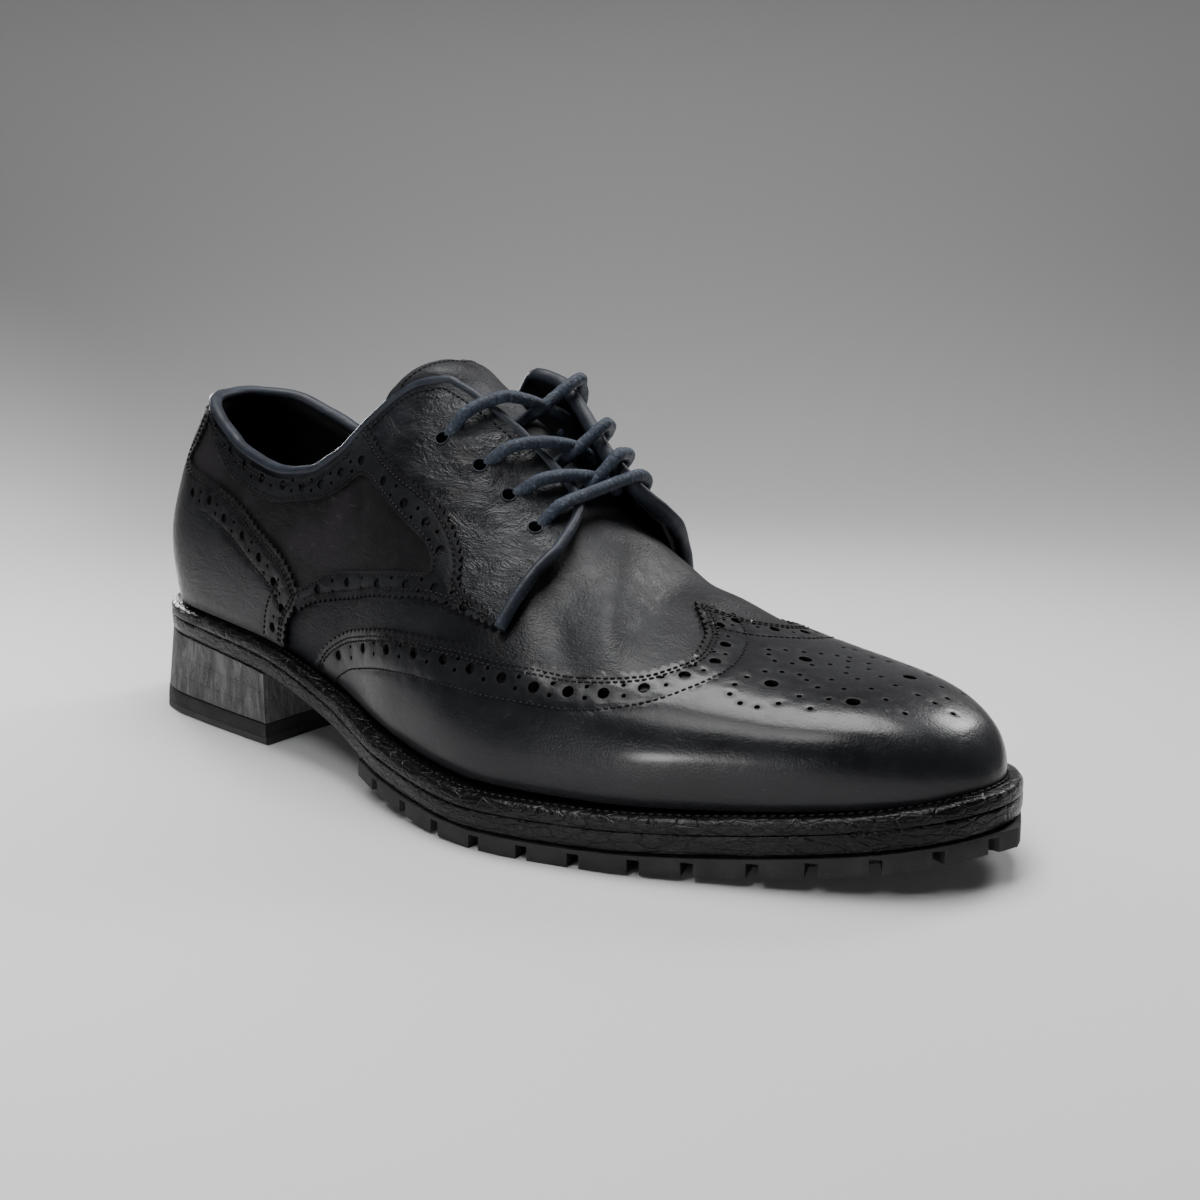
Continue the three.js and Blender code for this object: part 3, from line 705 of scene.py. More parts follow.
def shell_faces(columns, rows, closed=False):
    """Faces of a grid sheet with two skins and walls round its edge; the outer skin comes first."""
    count = columns * rows
    index = np.arange(count).reshape(columns, rows)
    faces = []
    last = columns if closed else columns - 1
    for i in range(last):
        k = (i + 1) % columns
        a, b = index[i], index[k]
        faces.append(np.stack([a[:-1], a[1:], b[1:], b[:-1]], 1))
        faces.append(np.stack([a[:-1], b[:-1], b[1:], a[1:]], 1) + count)
    walls = []
    for i in range(last):
        k = (i + 1) % columns
        walls.append([index[i, 0], index[k, 0], index[k, 0] + count, index[i, 0] + count])
        walls.append([index[k, -1], index[i, -1], index[i, -1] + count, index[k, -1] + count])
    if not closed:
        for j in range(rows - 1):
            walls.append([index[0, j + 1], index[0, j], index[0, j] + count, index[0, j + 1] + count])
            end = index[-1]
            walls.append([end[j], end[j + 1], end[j + 1] + count, end[j] + count])
    return np.concatenate([np.concatenate(faces), np.array(walls)])


def tube_points(path, radius, sides=12, squash=1.0, lead=None):
    """Rings round a path without twist; radius may change along it."""
    path = np.asarray(path, float)
    run = unit(np.gradient(path, axis=0))
    radius = np.broadcast_to(np.asarray(radius, float), (len(path),))
    out = np.array(lead if lead is not None else [0, 0, 1.0], float)
    rings = []
    for i, point in enumerate(path):
        out = unit(out - np.dot(out, run[i]) * run[i])
        beside = np.cross(out, run[i])
        turn = 2 * np.pi * np.arange(sides) / sides
        ring = np.outer(np.cos(turn), out) * squash + np.outer(np.sin(turn), beside)
        rings.append(point + ring * radius[i])
    return np.stack(rings)


def tube_faces(rings, sides, start=0):
    index = start + np.arange(rings * sides).reshape(rings, sides)
    faces = []
    for i in range(rings - 1):
        a, b = index[i], index[i + 1]
        faces += np.stack([a, np.roll(a, -1), np.roll(b, -1), b], 1).tolist()
    faces.append(index[0][::-1].tolist())
    faces.append(index[-1].tolist())
    return faces


def smooth_path(points, count, closed=False):
    """A Catmull-Rom path through the points, evenly spaced."""
    p = np.asarray(points, float)
    if closed:
        p = np.concatenate([p, p[:1]])
    length = np.concatenate([[0], np.cumsum(np.linalg.norm(np.diff(p, axis=0), axis=1) ** 0.5)])
    before = np.concatenate([[p[-2] if closed else 2 * p[0] - p[1]], p[:-1]])
    after = np.concatenate([p[1:], [p[1] if closed else 2 * p[-1] - p[-2]]])
    step = np.diff(length)
    wide = np.concatenate([[step[0]], step])
    wide_after = np.concatenate([step, [step[-1]]])
    slope = (p - before) / wide[:, None] * (wide_after / (wide + wide_after))[:, None]
    slope += (after - p) / wide_after[:, None] * (wide / (wide + wide_after))[:, None]
    t = np.linspace(0, length[-1], 24 * len(p))
    i = np.clip(np.searchsorted(length, t, "right") - 1, 0, len(step) - 1)
    q = ((t - length[i]) / step[i])[:, None]
    a, b = slope[i] * step[i][:, None], slope[i + 1] * step[i][:, None]
    rise = p[i + 1] - p[i]
    fine = p[i] + q * (a + q * (3 * rise - 2 * a - b + q * (a + b - 2 * rise)))
    return even(fine, count)


def even(line, count):
    """The line with its points evenly spaced."""
    length = np.concatenate([[0], np.cumsum(np.linalg.norm(np.diff(line, axis=0), axis=1))])
    t = np.linspace(0, length[-1], count)
    return np.stack([np.interp(t, length, line[:, k]) for k in range(line.shape[1])], axis=1)


def jacobian(surface, uv):
    small = 1e-4
    u, v = uv[:, 0], uv[:, 1]
    by_u = (surface(u + small, v) - surface(u - small, v)) / (2 * small)
    by_v = (surface(u, v + small) - surface(u, v - small)) / (2 * small)
    return by_u, by_v


def move(surface, uv, vector):
    """The places reached from uv by small steps in space along the surface."""
    by_u, by_v = jacobian(surface, uv)
    uu, vv = (by_u * by_u).sum(1), (by_v * by_v).sum(1)
    cross = (by_u * by_v).sum(1)
    a, b = (by_u * vector).sum(1), (by_v * vector).sum(1)
    scale = np.maximum(uu * vv - cross * cross, 1e-9)
    step = np.stack([(a * vv - b * cross) / scale, (b * uu - a * cross) / scale], axis=1)
    return uv + step


def beside(surface, line, distance):
    """A line of places moved sideways by so many millimetres; positive is to its left."""
    points = surface(line[:, 0], line[:, 1])
    run = unit(np.gradient(points, axis=0))
    by_u, by_v = jacobian(surface, line)
    normal = unit(np.cross(by_v, by_u))
    aside = unit(np.cross(normal, run))
    return move(surface, line, aside * np.asarray(distance, float).reshape(-1, 1))


def walk(surface, line, pitch, start=0.0):
    """Places along a line at an even pitch in millimetres."""
    points = surface(line[:, 0], line[:, 1])
    length = np.concatenate([[0], np.cumsum(np.linalg.norm(np.diff(points, axis=0), axis=1))])
    count = max(2, int(round((length[-1] - 2 * start) / pitch)) + 1)
    t = np.linspace(start, length[-1] - start, count)
    return np.stack([np.interp(t, length, line[:, k]) for k in range(2)], axis=1)


def pinked(surface, line, outward):
    """The line with pinked teeth that reach outward (+1 left of it, -1 right of it)."""
    places = walk(surface, line, sizes().tooth_pitch / 4)
    phase = np.arange(len(places)) % 4
    tooth = np.choose(phase, [0.0, 0.55, 1.0, 0.55]) - 0.5
    tooth[0] = tooth[-1] = 0
    return beside(surface, places, outward * sizes().tooth_depth * tooth)


def ring(surface, centre, radius, count):
    """Places on a circle on a surface."""
    turn = 2 * np.pi * np.arange(count) / count
    uv = np.repeat(np.array([centre]), count, axis=0)
    by_u, by_v = jacobian(surface, uv)
    e = unit(by_u)
    f = unit(by_v - (by_v * e).sum(1, keepdims=True) * e)
    return move(surface, uv, radius * (np.cos(turn)[:, None] * e + np.sin(turn)[:, None] * f))


def inside(points, polygon):
    """Which points lie inside a polygon."""
    x, y = points[:, 0], points[:, 1]
    result = np.zeros(len(points), bool)
    j = len(polygon) - 1
    for i in range(len(polygon)):
        (xi, yi), (xj, yj) = polygon[i], polygon[j]
        if yi != yj:
            cut = (xj - xi) * (y - yi) / (yj - yi) + xi
            result ^= ((yi > y) != (yj > y)) & (x < cut)
        j = i
    return result


def cut_sheet(name, surface, loops, holes, lines, spacing, outer, inner, material, scale, **facts):
    """A sheet cut to an outline with holes. loops are closed outlines of places, the first one
    outside; holes are (place, radius, sides); lines are seams that sink a little."""
    keep_out, verts, edges = [], [], []
    for loop in loops:
        start = len(verts)
        verts += loop.tolist()
        edges += [(start + i, start + (i + 1) % len(loop)) for i in range(len(loop))]
    for centre, radius, sides in holes:
        loop = ring(surface, centre, radius, sides)
        keep_out.append(loop)
        start = len(verts)
        verts += loop.tolist()
        edges += [(start + i, start + (i + 1) % sides) for i in range(sides)]
    seam_points = []
    for line in lines:
        for gap in (-0.9, 0, 0.9):
            seam_points.append(beside(surface, walk(surface, line, 2.2), gap))
    low, high = loops[0].min(0), loops[0].max(0)
    steps = [max(2, int((high[k] - low[k]) * scale[k] / spacing)) for k in range(2)]
    us, vs = np.linspace(low[0], high[0], steps[0]), np.linspace(low[1], high[1], steps[1])
    gu, gv = np.meshgrid(us, vs, indexing="ij")
    gu = gu + (np.arange(gv.shape[1]) % 2)[None, :] * (us[1] - us[0]) / 2
    grid = np.stack([gu.ravel(), gv.ravel()], axis=1)
    loose = np.concatenate([grid, *seam_points]) if seam_points else grid
    unit_scale = np.array(scale, float)
    keep = inside(loose, loops[0])
    for loop in loops[1:]:
        keep &= ~inside(loose, loop)
    loose = loose[keep]
    wall = np.array(verts) * unit_scale
    gap = np.full(len(loose), 1e9)
    for start in range(0, len(wall), 400):
        chunk = wall[start : start + 400]
        d = np.linalg.norm((loose * unit_scale)[:, None, :] - chunk[None], axis=2).min(1)
        gap = np.minimum(gap, d)
    loose = loose[gap > 0.35]
    for centre, radius, _ in holes:
        d = np.linalg.norm((loose - centre) * unit_scale, axis=1)
        loose = loose[d > 0.8 * radius]
    places = np.concatenate([np.array(verts), loose])
    flat = [Vector(p) for p in (places * unit_scale).tolist()]
    made = geometry.delaunay_2d_cdt(flat, edges, [], 0, 1e-6, True)
    uv = np.array([v[:] for v in made[0]]) / unit_scale
    faces = np.array([f for f in made[2] if len(f) == 3])
    middle = uv[faces].mean(1)
    keep = inside(middle, loops[0])
    for loop in [*loops[1:], *keep_out]:
        keep &= ~inside_box(middle, loop)
    faces = faces[keep]
    used = np.unique(faces)
    back = np.full(len(uv), -1)
    back[used] = np.arange(len(used))
    uv, faces = uv[used], back[faces]
    a, b, c = uv[faces[:, 0]], uv[faces[:, 1]], uv[faces[:, 2]]
    turned = (b[:, 0] - a[:, 0]) * (c[:, 1] - a[:, 1]) < (b[:, 1] - a[:, 1]) * (c[:, 0] - a[:, 0])
    faces[turned] = faces[turned][:, ::-1]
    sink = np.zeros(len(uv))
    here = surface(uv[:, 0], uv[:, 1])
    for line in lines:
        sink = np.maximum(sink, seam_depth(here, surface(line[:, 0], line[:, 1])))
    edge_pairs = np.sort(np.concatenate([faces[:, [0, 1]], faces[:, [1, 2]], faces[:, [2, 0]]]), 1)
    pairs, counts = np.unique(edge_pairs, axis=0, return_counts=True)
    border = {tuple(p) for p in pairs[counts == 1].tolist()}
    near = np.zeros(len(uv))
    near[list({i for p in border for i in p})] = 1
    outside = surface(uv[:, 0], uv[:, 1], outer - 0.28 * sink - 0.12 * near)
    within = surface(uv[:, 0], uv[:, 1], np.full(len(uv), inner))
    count = len(uv)
    sign = 1 if facing_out(outside, faces, surface, uv) else -1
    top = faces if sign > 0 else faces[:, ::-1]
    quads = []
    for tri in top.tolist():
        for i in range(3):
            p, q = tri[i], tri[(i + 1) % 3]
            if (min(p, q), max(p, q)) in border:
                quads.append([q, p, p + count, q + count])
    all_faces = [*top.tolist(), *(top[:, ::-1] + count).tolist(), *quads]
    # The edge attribute places painted shade on the cut walls and the under skin's rims, and a little
    # (0.3) on the top's rims; seam places painted shade along the sunk seams.
    attributes = {"edge": np.concatenate([0.3 * near, near]), "seam": np.concatenate([sink, sink])}
    points = np.concatenate([outside, within])
    piece = mesh_piece(name, points, all_faces, material, attributes=attributes, **facts)
    smooth_by_angle(piece, 42)
    return piece


def inside_box(points, loop):
    """As inside, but only for the points in the loop's box, because a hole is small."""
    low, high = loop.min(0), loop.max(0)
    near = ((points >= low) & (points <= high)).all(1)
    result = np.zeros(len(points), bool)
    if near.any():
        result[near] = inside(points[near], loop)
    return result


def facing_out(points, faces, surface, uv):
    """Whether the faces look away from the shoe."""
    a, b, c = (points[faces[:, k]] for k in range(3))
    outward = surface(uv[:, 0], uv[:, 1], np.full(len(uv), 0.5)) - surface(uv[:, 0], uv[:, 1])
    return (np.cross(b - a, c - a) * outward[faces[:, 0]]).sum() > 0


def seam_depth(points, line, width=0.8):
    """1 on the line, falling to 0 a width from it."""
    near = np.full(len(points), 1e9)
    for start in range(0, len(line), 200):
        part = line[start : start + 200]
        near = np.minimum(near, np.linalg.norm(points[:, None] - part[None], axis=2).min(1))
    return np.exp(-((near / width) ** 2))


# along, height, half width, in millimetres
STITCH = (
    (-0.62, 0.08, 0.1),
    (-0.45, 0.2, 0.24),
    (0.0, 0.26, 0.3),
    (0.45, 0.2, 0.24),
    (0.62, 0.08, 0.1),
)
STITCH_SIDES = 5


def stitch(centre, ahead, out, size=1.0):
    """The points of one stitch along ahead; out is away from the leather."""
    side = np.cross(out, ahead)
    turn = 2 * np.pi * np.arange(STITCH_SIDES) / STITCH_SIDES
    points = []
    for along, high, wide in STITCH:
        ring_points = np.outer(np.cos(turn), out) * high + np.outer(np.sin(turn), side) * wide
        points += (centre + size * (ahead * along + ring_points)).tolist()
    return points


def stitches(name, runs, material, **facts):
    """Rows of thread along lines; runs are (surface, line, height above it)."""
    points, faces = [], []
    pitch = sizes().stitch_pitch
    for surface, line, off in runs:
        spots = walk(surface, line, pitch, start=pitch / 2)
        here = surface(spots[:, 0], spots[:, 1], np.full(len(spots), off))
        run = unit(np.gradient(here, axis=0))
        above = surface(spots[:, 0], spots[:, 1], np.full(len(spots), off + 0.5))
        for centre, ahead, out in zip(here, run, unit(above - here)):
            faces += tube_faces(len(STITCH), STITCH_SIDES, len(points))
            points += stitch(centre, ahead, out)
    return mesh_piece(name, points, faces, material, **facts)


# Materials


class Value:
    """A node's output that can be used in sums."""

    def __init__(self, tree, socket):
        self.tree = tree
        self.socket = socket

    def _math(self, operation, a, b):
        made = self.tree.node("ShaderNodeMath", {"operation": operation}, {0: a, 1: b})
        return made["Value"]

    def __add__(self, other):
        return self._math("ADD", self, other)

    __radd__ = __add__

    def __sub__(self, other):
        return self._math("SUBTRACT", self, other)

    def __rsub__(self, other):
        return self._math("SUBTRACT", other, self)

    def __mul__(self, other):
        return self._math("MULTIPLY", self, other)

    __rmul__ = __mul__


class Tree:
    """A material's nodes."""

    def __init__(self, name):
        self.material = bpy.data.materials.new(name)
        self.material.use_nodes = True
        self.nodes = self.material.node_tree.nodes
        self.links = self.material.node_tree.links
        self.shader = self.nodes["Principled BSDF"]

    def node(self, kind, settings=None, values=None):
        """A node of a type, with its settings set first and then its sockets' values or links."""
        node = self.nodes.new(kind)
        for key, value in (settings or {}).items():
            setattr(node, key, value)
        named = {socket.name: socket for socket in node.inputs if socket.enabled}
        for key, value in (values or {}).items():
            self.feed(node.inputs[key] if isinstance(key, int) else named[key], value)
        return {socket.name: Value(self, socket) for socket in node.outputs if socket.enabled}

    def feed(self, socket, value):
        if isinstance(value, Value):
            self.links.new(value.socket, socket)
        elif isinstance(value, (tuple, list)) and socket.type == "RGBA":
            socket.default_value = (*value[:3], 1)
        else:
            socket.default_value = value

    def set(self, **sockets):
        for key, value in sockets.items():
            self.feed(self.shader.inputs[key.replace("_", " ")], value)

    def place(self):
        return self.node("ShaderNodeTexCoord")["Object"]

    def stretched(self, vector, scale=(1, 1, 1), turn=(0, 0, 0)):
        values = {"Vector": vector, "Scale": scale, "Rotation": turn}
        return self.node("ShaderNodeMapping", None, values)["Vector"]

    def noise(self, vector, scale, detail=3.0, roughness=0.55, distortion=0.0):
        values = {
            "Vector": vector,
            "Scale": scale,
            "Detail": detail,
            "Roughness": roughness,
            "Distortion": distortion,
        }
        return self.node("ShaderNodeTexNoise", None, values)["Fac"]

    def cells(self, vector, scale, feature="F1", randomness=1.0):
        values = {"Vector": vector, "Scale": scale, "Randomness": randomness}
        return self.node("ShaderNodeTexVoronoi", {"feature": feature}, values)["Distance"]

    def ramp(self, value, low, high, a=0.0, b=1.0):
        """a below low, b above high, and smooth between them."""
        settings = {"interpolation_type": "SMOOTHSTEP"}
        values = {"Value": value, "From Min": low, "From Max": high, "To Min": a, "To Max": b}
        return self.node("ShaderNodeMapRange", settings, values)["Result"]

    def blend(self, amount, a, b):
        values = {"Factor": amount, "A": a, "B": b}
        return self.node("ShaderNodeMix", {"data_type": "RGBA"}, values)["Result"]

    def attribute(self, name):
        return self.node("ShaderNodeAttribute", {"attribute_name": name})["Fac"]

    def bump(self, height, distance, strength=1.0, normal=None):
        values = {"Height": height, "Distance": distance, "Strength": strength}
        if normal is not None:
            values["Normal"] = normal
        return self.node("ShaderNodeBump", None, values)["Normal"]


def leather(name, dark, light, rough, grain, wrinkle, coat, patches, scratch):
    """Dark leather: colour in soft patches, a fine grain, wrinkles, scratches and worn edges."""
    tree = Tree(name)
    place = tree.place()
    broad = tree.noise(place, patches, 4, 0.6)
    fine = tree.noise(place, 260, 3, 0.6)
    pores = tree.cells(place, 1500)
    lines = tree.noise(tree.stretched(place, (1, 1, 3)), 110, 4, 0.65, 0.8)
    folds = tree.noise(tree.stretched(place, (1, 1.6, 2.6)), 70, 5, 0.7, 1.4)
    scuffs = tree.ramp(tree.noise(tree.stretched(place, (0.35, 1, 1.3)), 420, 4, 0.75), 0.6, 0.74)
    patches_and_sheen = tree.ramp(broad, 0.38, 0.68)
    edge = tree.attribute("edge")
    seam = tree.attribute("seam")
    # Soft patches of lighter tone; on the facing, where they are much lighter, they are painted silver
    # highlights.
    colour = tree.blend(patches_and_sheen, dark, light)
    pale = tuple(2.4 * c + 0.012 for c in light)
    colour = tree.blend(scuffs * scratch * patches_and_sheen, colour, pale)
    colour = tree.blend(tree.ramp(fine, 0.55, 0.75) * 0.35, colour, light)
    # Painted shade: the cut edges and hole walls go near black, and the top's rims a little darker.
    colour = tree.blend(edge * 0.8, colour, (0.002, 0.002, 0.002))
    # Painted shade along the sunk seams.
    colour = tree.blend(seam * 0.5, colour, dark)
    roughness = (fine - 0.5) * 0.25 + (broad - 0.5) * 0.4 + edge * 0.5 + rough
    height = (
        (1 - pores) * 0.25 * grain
        + fine * 0.5 * grain
        + lines * (0.5 * grain)
        + folds * (3.2 * wrinkle)
        - scuffs * (0.25 * scratch)
    )
    tree.set(Base_Color=colour, Roughness=roughness, Normal=tree.bump(height, 0.00035, 0.7))
    tree.set(Coat_Weight=(1 - edge) * coat, Coat_Roughness=0.16, IOR=1.34)
    return tree.material


def thread_material():
    """Dark waxed thread."""
    tree = Tree("waxed thread")
    place = tree.place()
    tone = tree.noise(place, 900, 2)
    dark, light = (0.001, 0.001, 0.0012), (0.006, 0.006, 0.007)
    tree.set(Base_Color=tree.blend(tone, dark, light), Roughness=0.5, IOR=1.3)
    return tree.material


def edge_material(dark):
    """The blackened, cracked and rubbed edge of the welt and the midsole."""
    tree = Tree("blackened edge")
    place = tree.place()
    cracks = tree.cells(tree.stretched(place, (0.6, 0.6, 1.6)), 260, "DISTANCE_TO_EDGE")
    broad = tree.noise(tree.stretched(place, (0.6, 0.6, 1.4)), 75, 5, 0.7)
    fine = tree.noise(tree.stretched(place, (0.6, 0.6, 1.6)), 620, 4, 0.7)
    chips = tree.ramp(fine + broad * 0.6, 0.94, 1.04)
    light = tuple(3 * value for value in dark)
    colour = tree.blend(tree.ramp(broad, 0.4, 0.7), dark, light)
    colour = tree.blend(chips, colour, (0.05, 0.05, 0.051))
    height = tree.ramp(cracks, 0, 0.08) * 0.3 + fine * 0.7 + broad * 3.0 - chips * 0.5
    tree.set(Base_Color=colour, Roughness=(fine - 0.5) * 0.4 + chips * 0.25 + 0.3)
    tree.set(Normal=tree.bump(height, 0.0005, 0.9), IOR=1.33)
    return tree.material


def stack_material(colour_dark, colour_light):
    """Rasped heel lifts: upright brush marks and dents, rubbed grey."""
    tree = Tree("stacked heel")
    place = tree.place()
    upright = tree.noise(tree.stretched(place, (1, 1, 0.16)), 480, 4, 0.7)
    broad = tree.noise(tree.stretched(place, (1, 1, 0.6)), 55, 4, 0.6)
    grit = tree.noise(place, 900, 3, 0.7)
    dents = tree.ramp(tree.noise(tree.stretched(place, (1, 1, 0.5)), 150, 5, 0.75, 1.2), 0.35, 0.6)
    colour = tree.blend(tree.ramp(upright + broad * 0.8, 0.6, 1.05), colour_dark, colour_light)
    colour = tree.blend((1 - dents) * 0.6, colour, colour_dark)
    height = upright * 2 + grit * 0.6 + dents * 4
    tree.set(Base_Color=colour, Roughness=(grit - 0.5) * 0.3 + broad * 0.15 + 0.5)
    tree.set(Normal=tree.bump(height, 0.0004, 0.8))
    return tree.material


def rubber_material(name, tone, ior=1.45):
    """Matt rubber with fine grit and a little dust."""
    tree = Tree(name)
    place = tree.place()
    grit = tree.noise(place, 1300, 3, 0.7)
    broad = tree.noise(place, 90, 4, 0.6)
    dusty = tree.ramp(broad + grit * 0.4, 0.62, 0.95)
    dust = tuple(0.5 * value + 0.03 for value in tone) if ior > 1.2 else tone
    colour = tree.blend(dusty * 0.6, tone, dust)
    tree.set(Base_Color=colour, Roughness=(grit - 0.5) * 0.3 + 0.72, IOR=ior)
    tree.set(Normal=tree.bump(grit + broad * 1.5, 0.00025, 0.6))
    return tree.material


def lace_material(dark):
    """Round waxed cord: a slanting braid that follows the cord, rubbed pale in flecks."""
    tree = Tree("waxed lace")
    uv = tree.node("ShaderNodeUVMap", {"uv_map": "UVMap"})["UV"]
    parts = tree.node("ShaderNodeSeparateXYZ", None, {"Vector": uv})
    strands = []
    for slant in (3, -3):
        turn = (parts["X"] * 2.6 + parts["Y"] * slant) * math.tau
        strands.append(tree.node("ShaderNodeMath", {"operation": "SINE"}, {0: turn})["Value"])
    over = tree.node("ShaderNodeMath", {"operation": "MAXIMUM"}, {0: strands[0], 1: strands[1]})
    weave = over["Value"] * 0.5 + 0.5
    place = tree.place()
    rub = tree.ramp(tree.noise(place, 520, 4, 0.8), 0.5, 0.62)
    fleck = tree.ramp(tree.noise(place, 1100, 3, 0.7), 0.58, 0.68) * rub
    colour = tree.blend(weave * 0.4, dark, tuple(2.2 * value for value in dark))
    colour = tree.blend(rub * 0.5, colour, tuple(4 * value for value in dark))
    colour = tree.blend(fleck * 0.8, colour, (0.3, 0.34, 0.4))
    tree.set(Base_Color=colour, Roughness=0.62 - rub * 0.1, IOR=1.4)
    tree.set(Normal=tree.bump(weave * 0.6 + rub * 1.2, 0.0002, 0.7))
    return tree.material


def floor_material(tone):
    """A pale floor that falls off away from the shoe and glows a little where it rises."""
    tree = Tree("studio floor")
    place = tree.place()
    parts = tree.node("ShaderNodeSeparateXYZ", None, {"Vector": place})
    span = tree.node("ShaderNodeVectorMath", {"operation": "LENGTH"}, {"Vector": place})["Value"]
    shade = tree.noise(place, 1.2, 2)
    # Painted fall-off of light: the floor darkens away from the shoe.
    painted_falloff = tree.ramp(span, 0.18, 0.5)
    colour = tree.blend(painted_falloff, tone, tuple(0.65 * value for value in tone))
    # Painted glow where the floor rises into the wall.
    glow = tree.ramp(parts["Z"], 0.0, 0.4)
    tree.set(Base_Color=colour, Roughness=(shade - 0.5) * 0.06 + 0.55)
    tree.set(Emission_Color=tree.blend(glow, (0, 0, 0), tone), Emission_Strength=0.18)
    return tree.material


# finish: colour, how much lighter its patches are, roughness, grain, wrinkle, coat, size of the
# patches, scratches
LEATHERS = {
    "cap": ("leather", 1.9, 0.32, 0.5, 0.12, 0.25, 22, 0.6),
    "counter": ("leather", 1.9, 0.34, 0.6, 0.3, 0.2, 30, 0.8),
    "vamp": ("leather", 2.2, 0.47, 1.3, 0.35, 0.0, 34, 0.6),
    "band": ("leather", 2.4, 0.46, 0.9, 0.15, 0.0, 30, 0.5),
    "panel": ("panel", 2.0, 0.48, 0.7, 0.4, 0.0, 40, 1.0),
    # The facing's much lighter patches are painted silver highlights.
    "facing": ("leather", 3.0, 0.33, 1.0, 1.8, 0.0, 34, 1.2),
    "tongue": ("leather", 4.0, 0.48, 1.2, 0.5, 0.0, 30, 0.6),
    "binding": ("binding", 1.8, 0.46, 0.8, 0.3, 0.0, 60, 1.0),
    "lining": ("lining", 1.6, 0.65, 0.6, 0.1, 0.0, 20, 0.2),
}
_made = {}


def finish(key):
    """Each finish is made once and shared by the pieces that have it."""
    if key not in _made:
        colours = bpy.context.scene.brogue_colours
        if key in LEATHERS:
            base, lighter, *rest = LEATHERS[key]
            dark = tuple(getattr(colours, base))
            light = tuple(lighter * value + 0.001 for value in dark)
            _made[key] = leather(key + " leather", dark, light, *rest)
        else:
            makers = {
                "thread": thread_material,
                "edge": lambda: edge_material(tuple(colours.edge)),
                "stack": lambda: stack_material((0.02, 0.02, 0.021), tuple(colours.stack)),
                "rubber": lambda: rubber_material("lug rubber", tuple(colours.rubber)),
                "strip": lambda: rubber_material("top piece strip", (0.035, 0.035, 0.036)),
                # The eyelets' near-black discs are painted shade.
                "eyelet": lambda: rubber_material("eyelet shade", (0.0005, 0.0005, 0.0006), 1.05),
                "lace": lambda: lace_material(tuple(colours.lace)),
            }
            _made[key] = makers[key]()
    return _made[key]


# Pieces


def both_sides(line, side):
    """A table of at and up as places (along, up) on one side."""
    rows = np.array(line, float)
    return np.stack([side * along_of(rows[:, 0]), rows[:, 1]], axis=1)


def sheet(surface, a, u, outer, inner):
    """Points and faces of a sheet between two heights over a grid of places."""
    points = [surface(a, u, off).reshape(-1, 3) for off in (outer, inner)]
    return np.concatenate(points), shell_faces(*a.shape)


# How far the vamp reaches on under the cap, as a share of the form's length.
VAMP_LAP = 0.035


def make_vamp():
    """The vamp from welt to welt, from under the quarters to under the cap."""
    acrosses = np.linspace(0.0, 2.0, 200)
    ups = np.where(acrosses > 1, 2 - acrosses, acrosses)
    a = np.linspace(along_of(vamp_back(ups)), along_of(wing_at(ups) + VAMP_LAP), 150).T
    c = np.repeat(acrosses[:, None], a.shape[1], axis=1)
    points, faces = sheet(vamp, a, c, 0, -1.5)
    mesh_piece("vamp", points, faces[:, ::-1], finish("vamp"), replaces=("upper",))


def make_quarters():
    """The quarters with their facings and the plain panel, and the lining inside them."""
    end = along_of(CORNER_AT)
    alongs = np.linspace(-end, end, 320)
    a = np.repeat(alongs[:, None], 60, axis=1)
    hidden = 0.15 * ease((share_of(alongs) - 0.2) / 0.07)
    lows = np.maximum(quarter_low(alongs) + 0.012, hidden)
    u = np.linspace(lows, quarter_top(alongs), 60).T
    points, faces = sheet(quarter, a, u, QUARTER_SKIN, -0.6)
    quarters = mesh_piece("quarters", points, faces, finish("facing"))
    quarters.data.materials.append(finish("panel"))
    smooth_by_angle(quarters, 40)
    edge = np.array([*PANEL_EDGE, (0.2, 0.0), (0.0, 0.2)])
    grown = edge.mean(0) + (edge - edge.mean(0)) * 1.08
    for face in quarters.data.polygons:
        i = face.vertices[0] % a.size
        place = np.array([[share_of(a.flat[i]), u.flat[i]]])
        face.material_index = int(inside(place, grown)[0])

    alongs = np.linspace(-end, end, 160)
    a = np.repeat(alongs[:, None], 60, axis=1)
    u = np.linspace(np.zeros(len(alongs)), quarter_top(alongs) + 0.005, 60).T
    inner = -1.9 + 0.8 * ease((u - u[:, -1:]) / 0.04 + 1)
    points, faces = sheet(quarter, a, u, -0.7, inner)
    lining = mesh_piece("lining", points, faces, finish("lining"), slot="lining")
    smooth_by_angle(lining, 40)


# Where the cap ends at the toe's tip and at both welts, and its seams in millimetres from its edge.
TIP = 0.9975
WELT_SIDES = (0.02, 1.98)
SEAMS = (1.7, 2.9, 10.6)


def straight(a, b, count):
    """Places evenly from one place to another."""
    return np.stack([np.linspace(a[k], b[k], count) for k in range(2)], axis=1)


def wing_line(shift):
    """The cap's edge from the outer welt over the ridge to the inner welt, as (along, across)."""
    across = np.linspace(*WELT_SIDES, 260)
    up = np.where(across > 1, 2 - across, across)
    line = np.stack([along_of(wing_at(up)), across], axis=1)
    return line if shift == 0 else beside(vamp, line, shift)


def hole_rows(surface, spots, spread=1.5):
    """Big holes at the spots, and pairs of small ones between them."""
    holes = [(spot, sizes().big_hole, 16) for spot in spots]
    between = (spots[1:] + spots[:-1]) / 2
    for gap in (-spread, spread):
        holes += [(spot, sizes().small_hole, 8) for spot in beside(surface, between, gap)]
    return holes


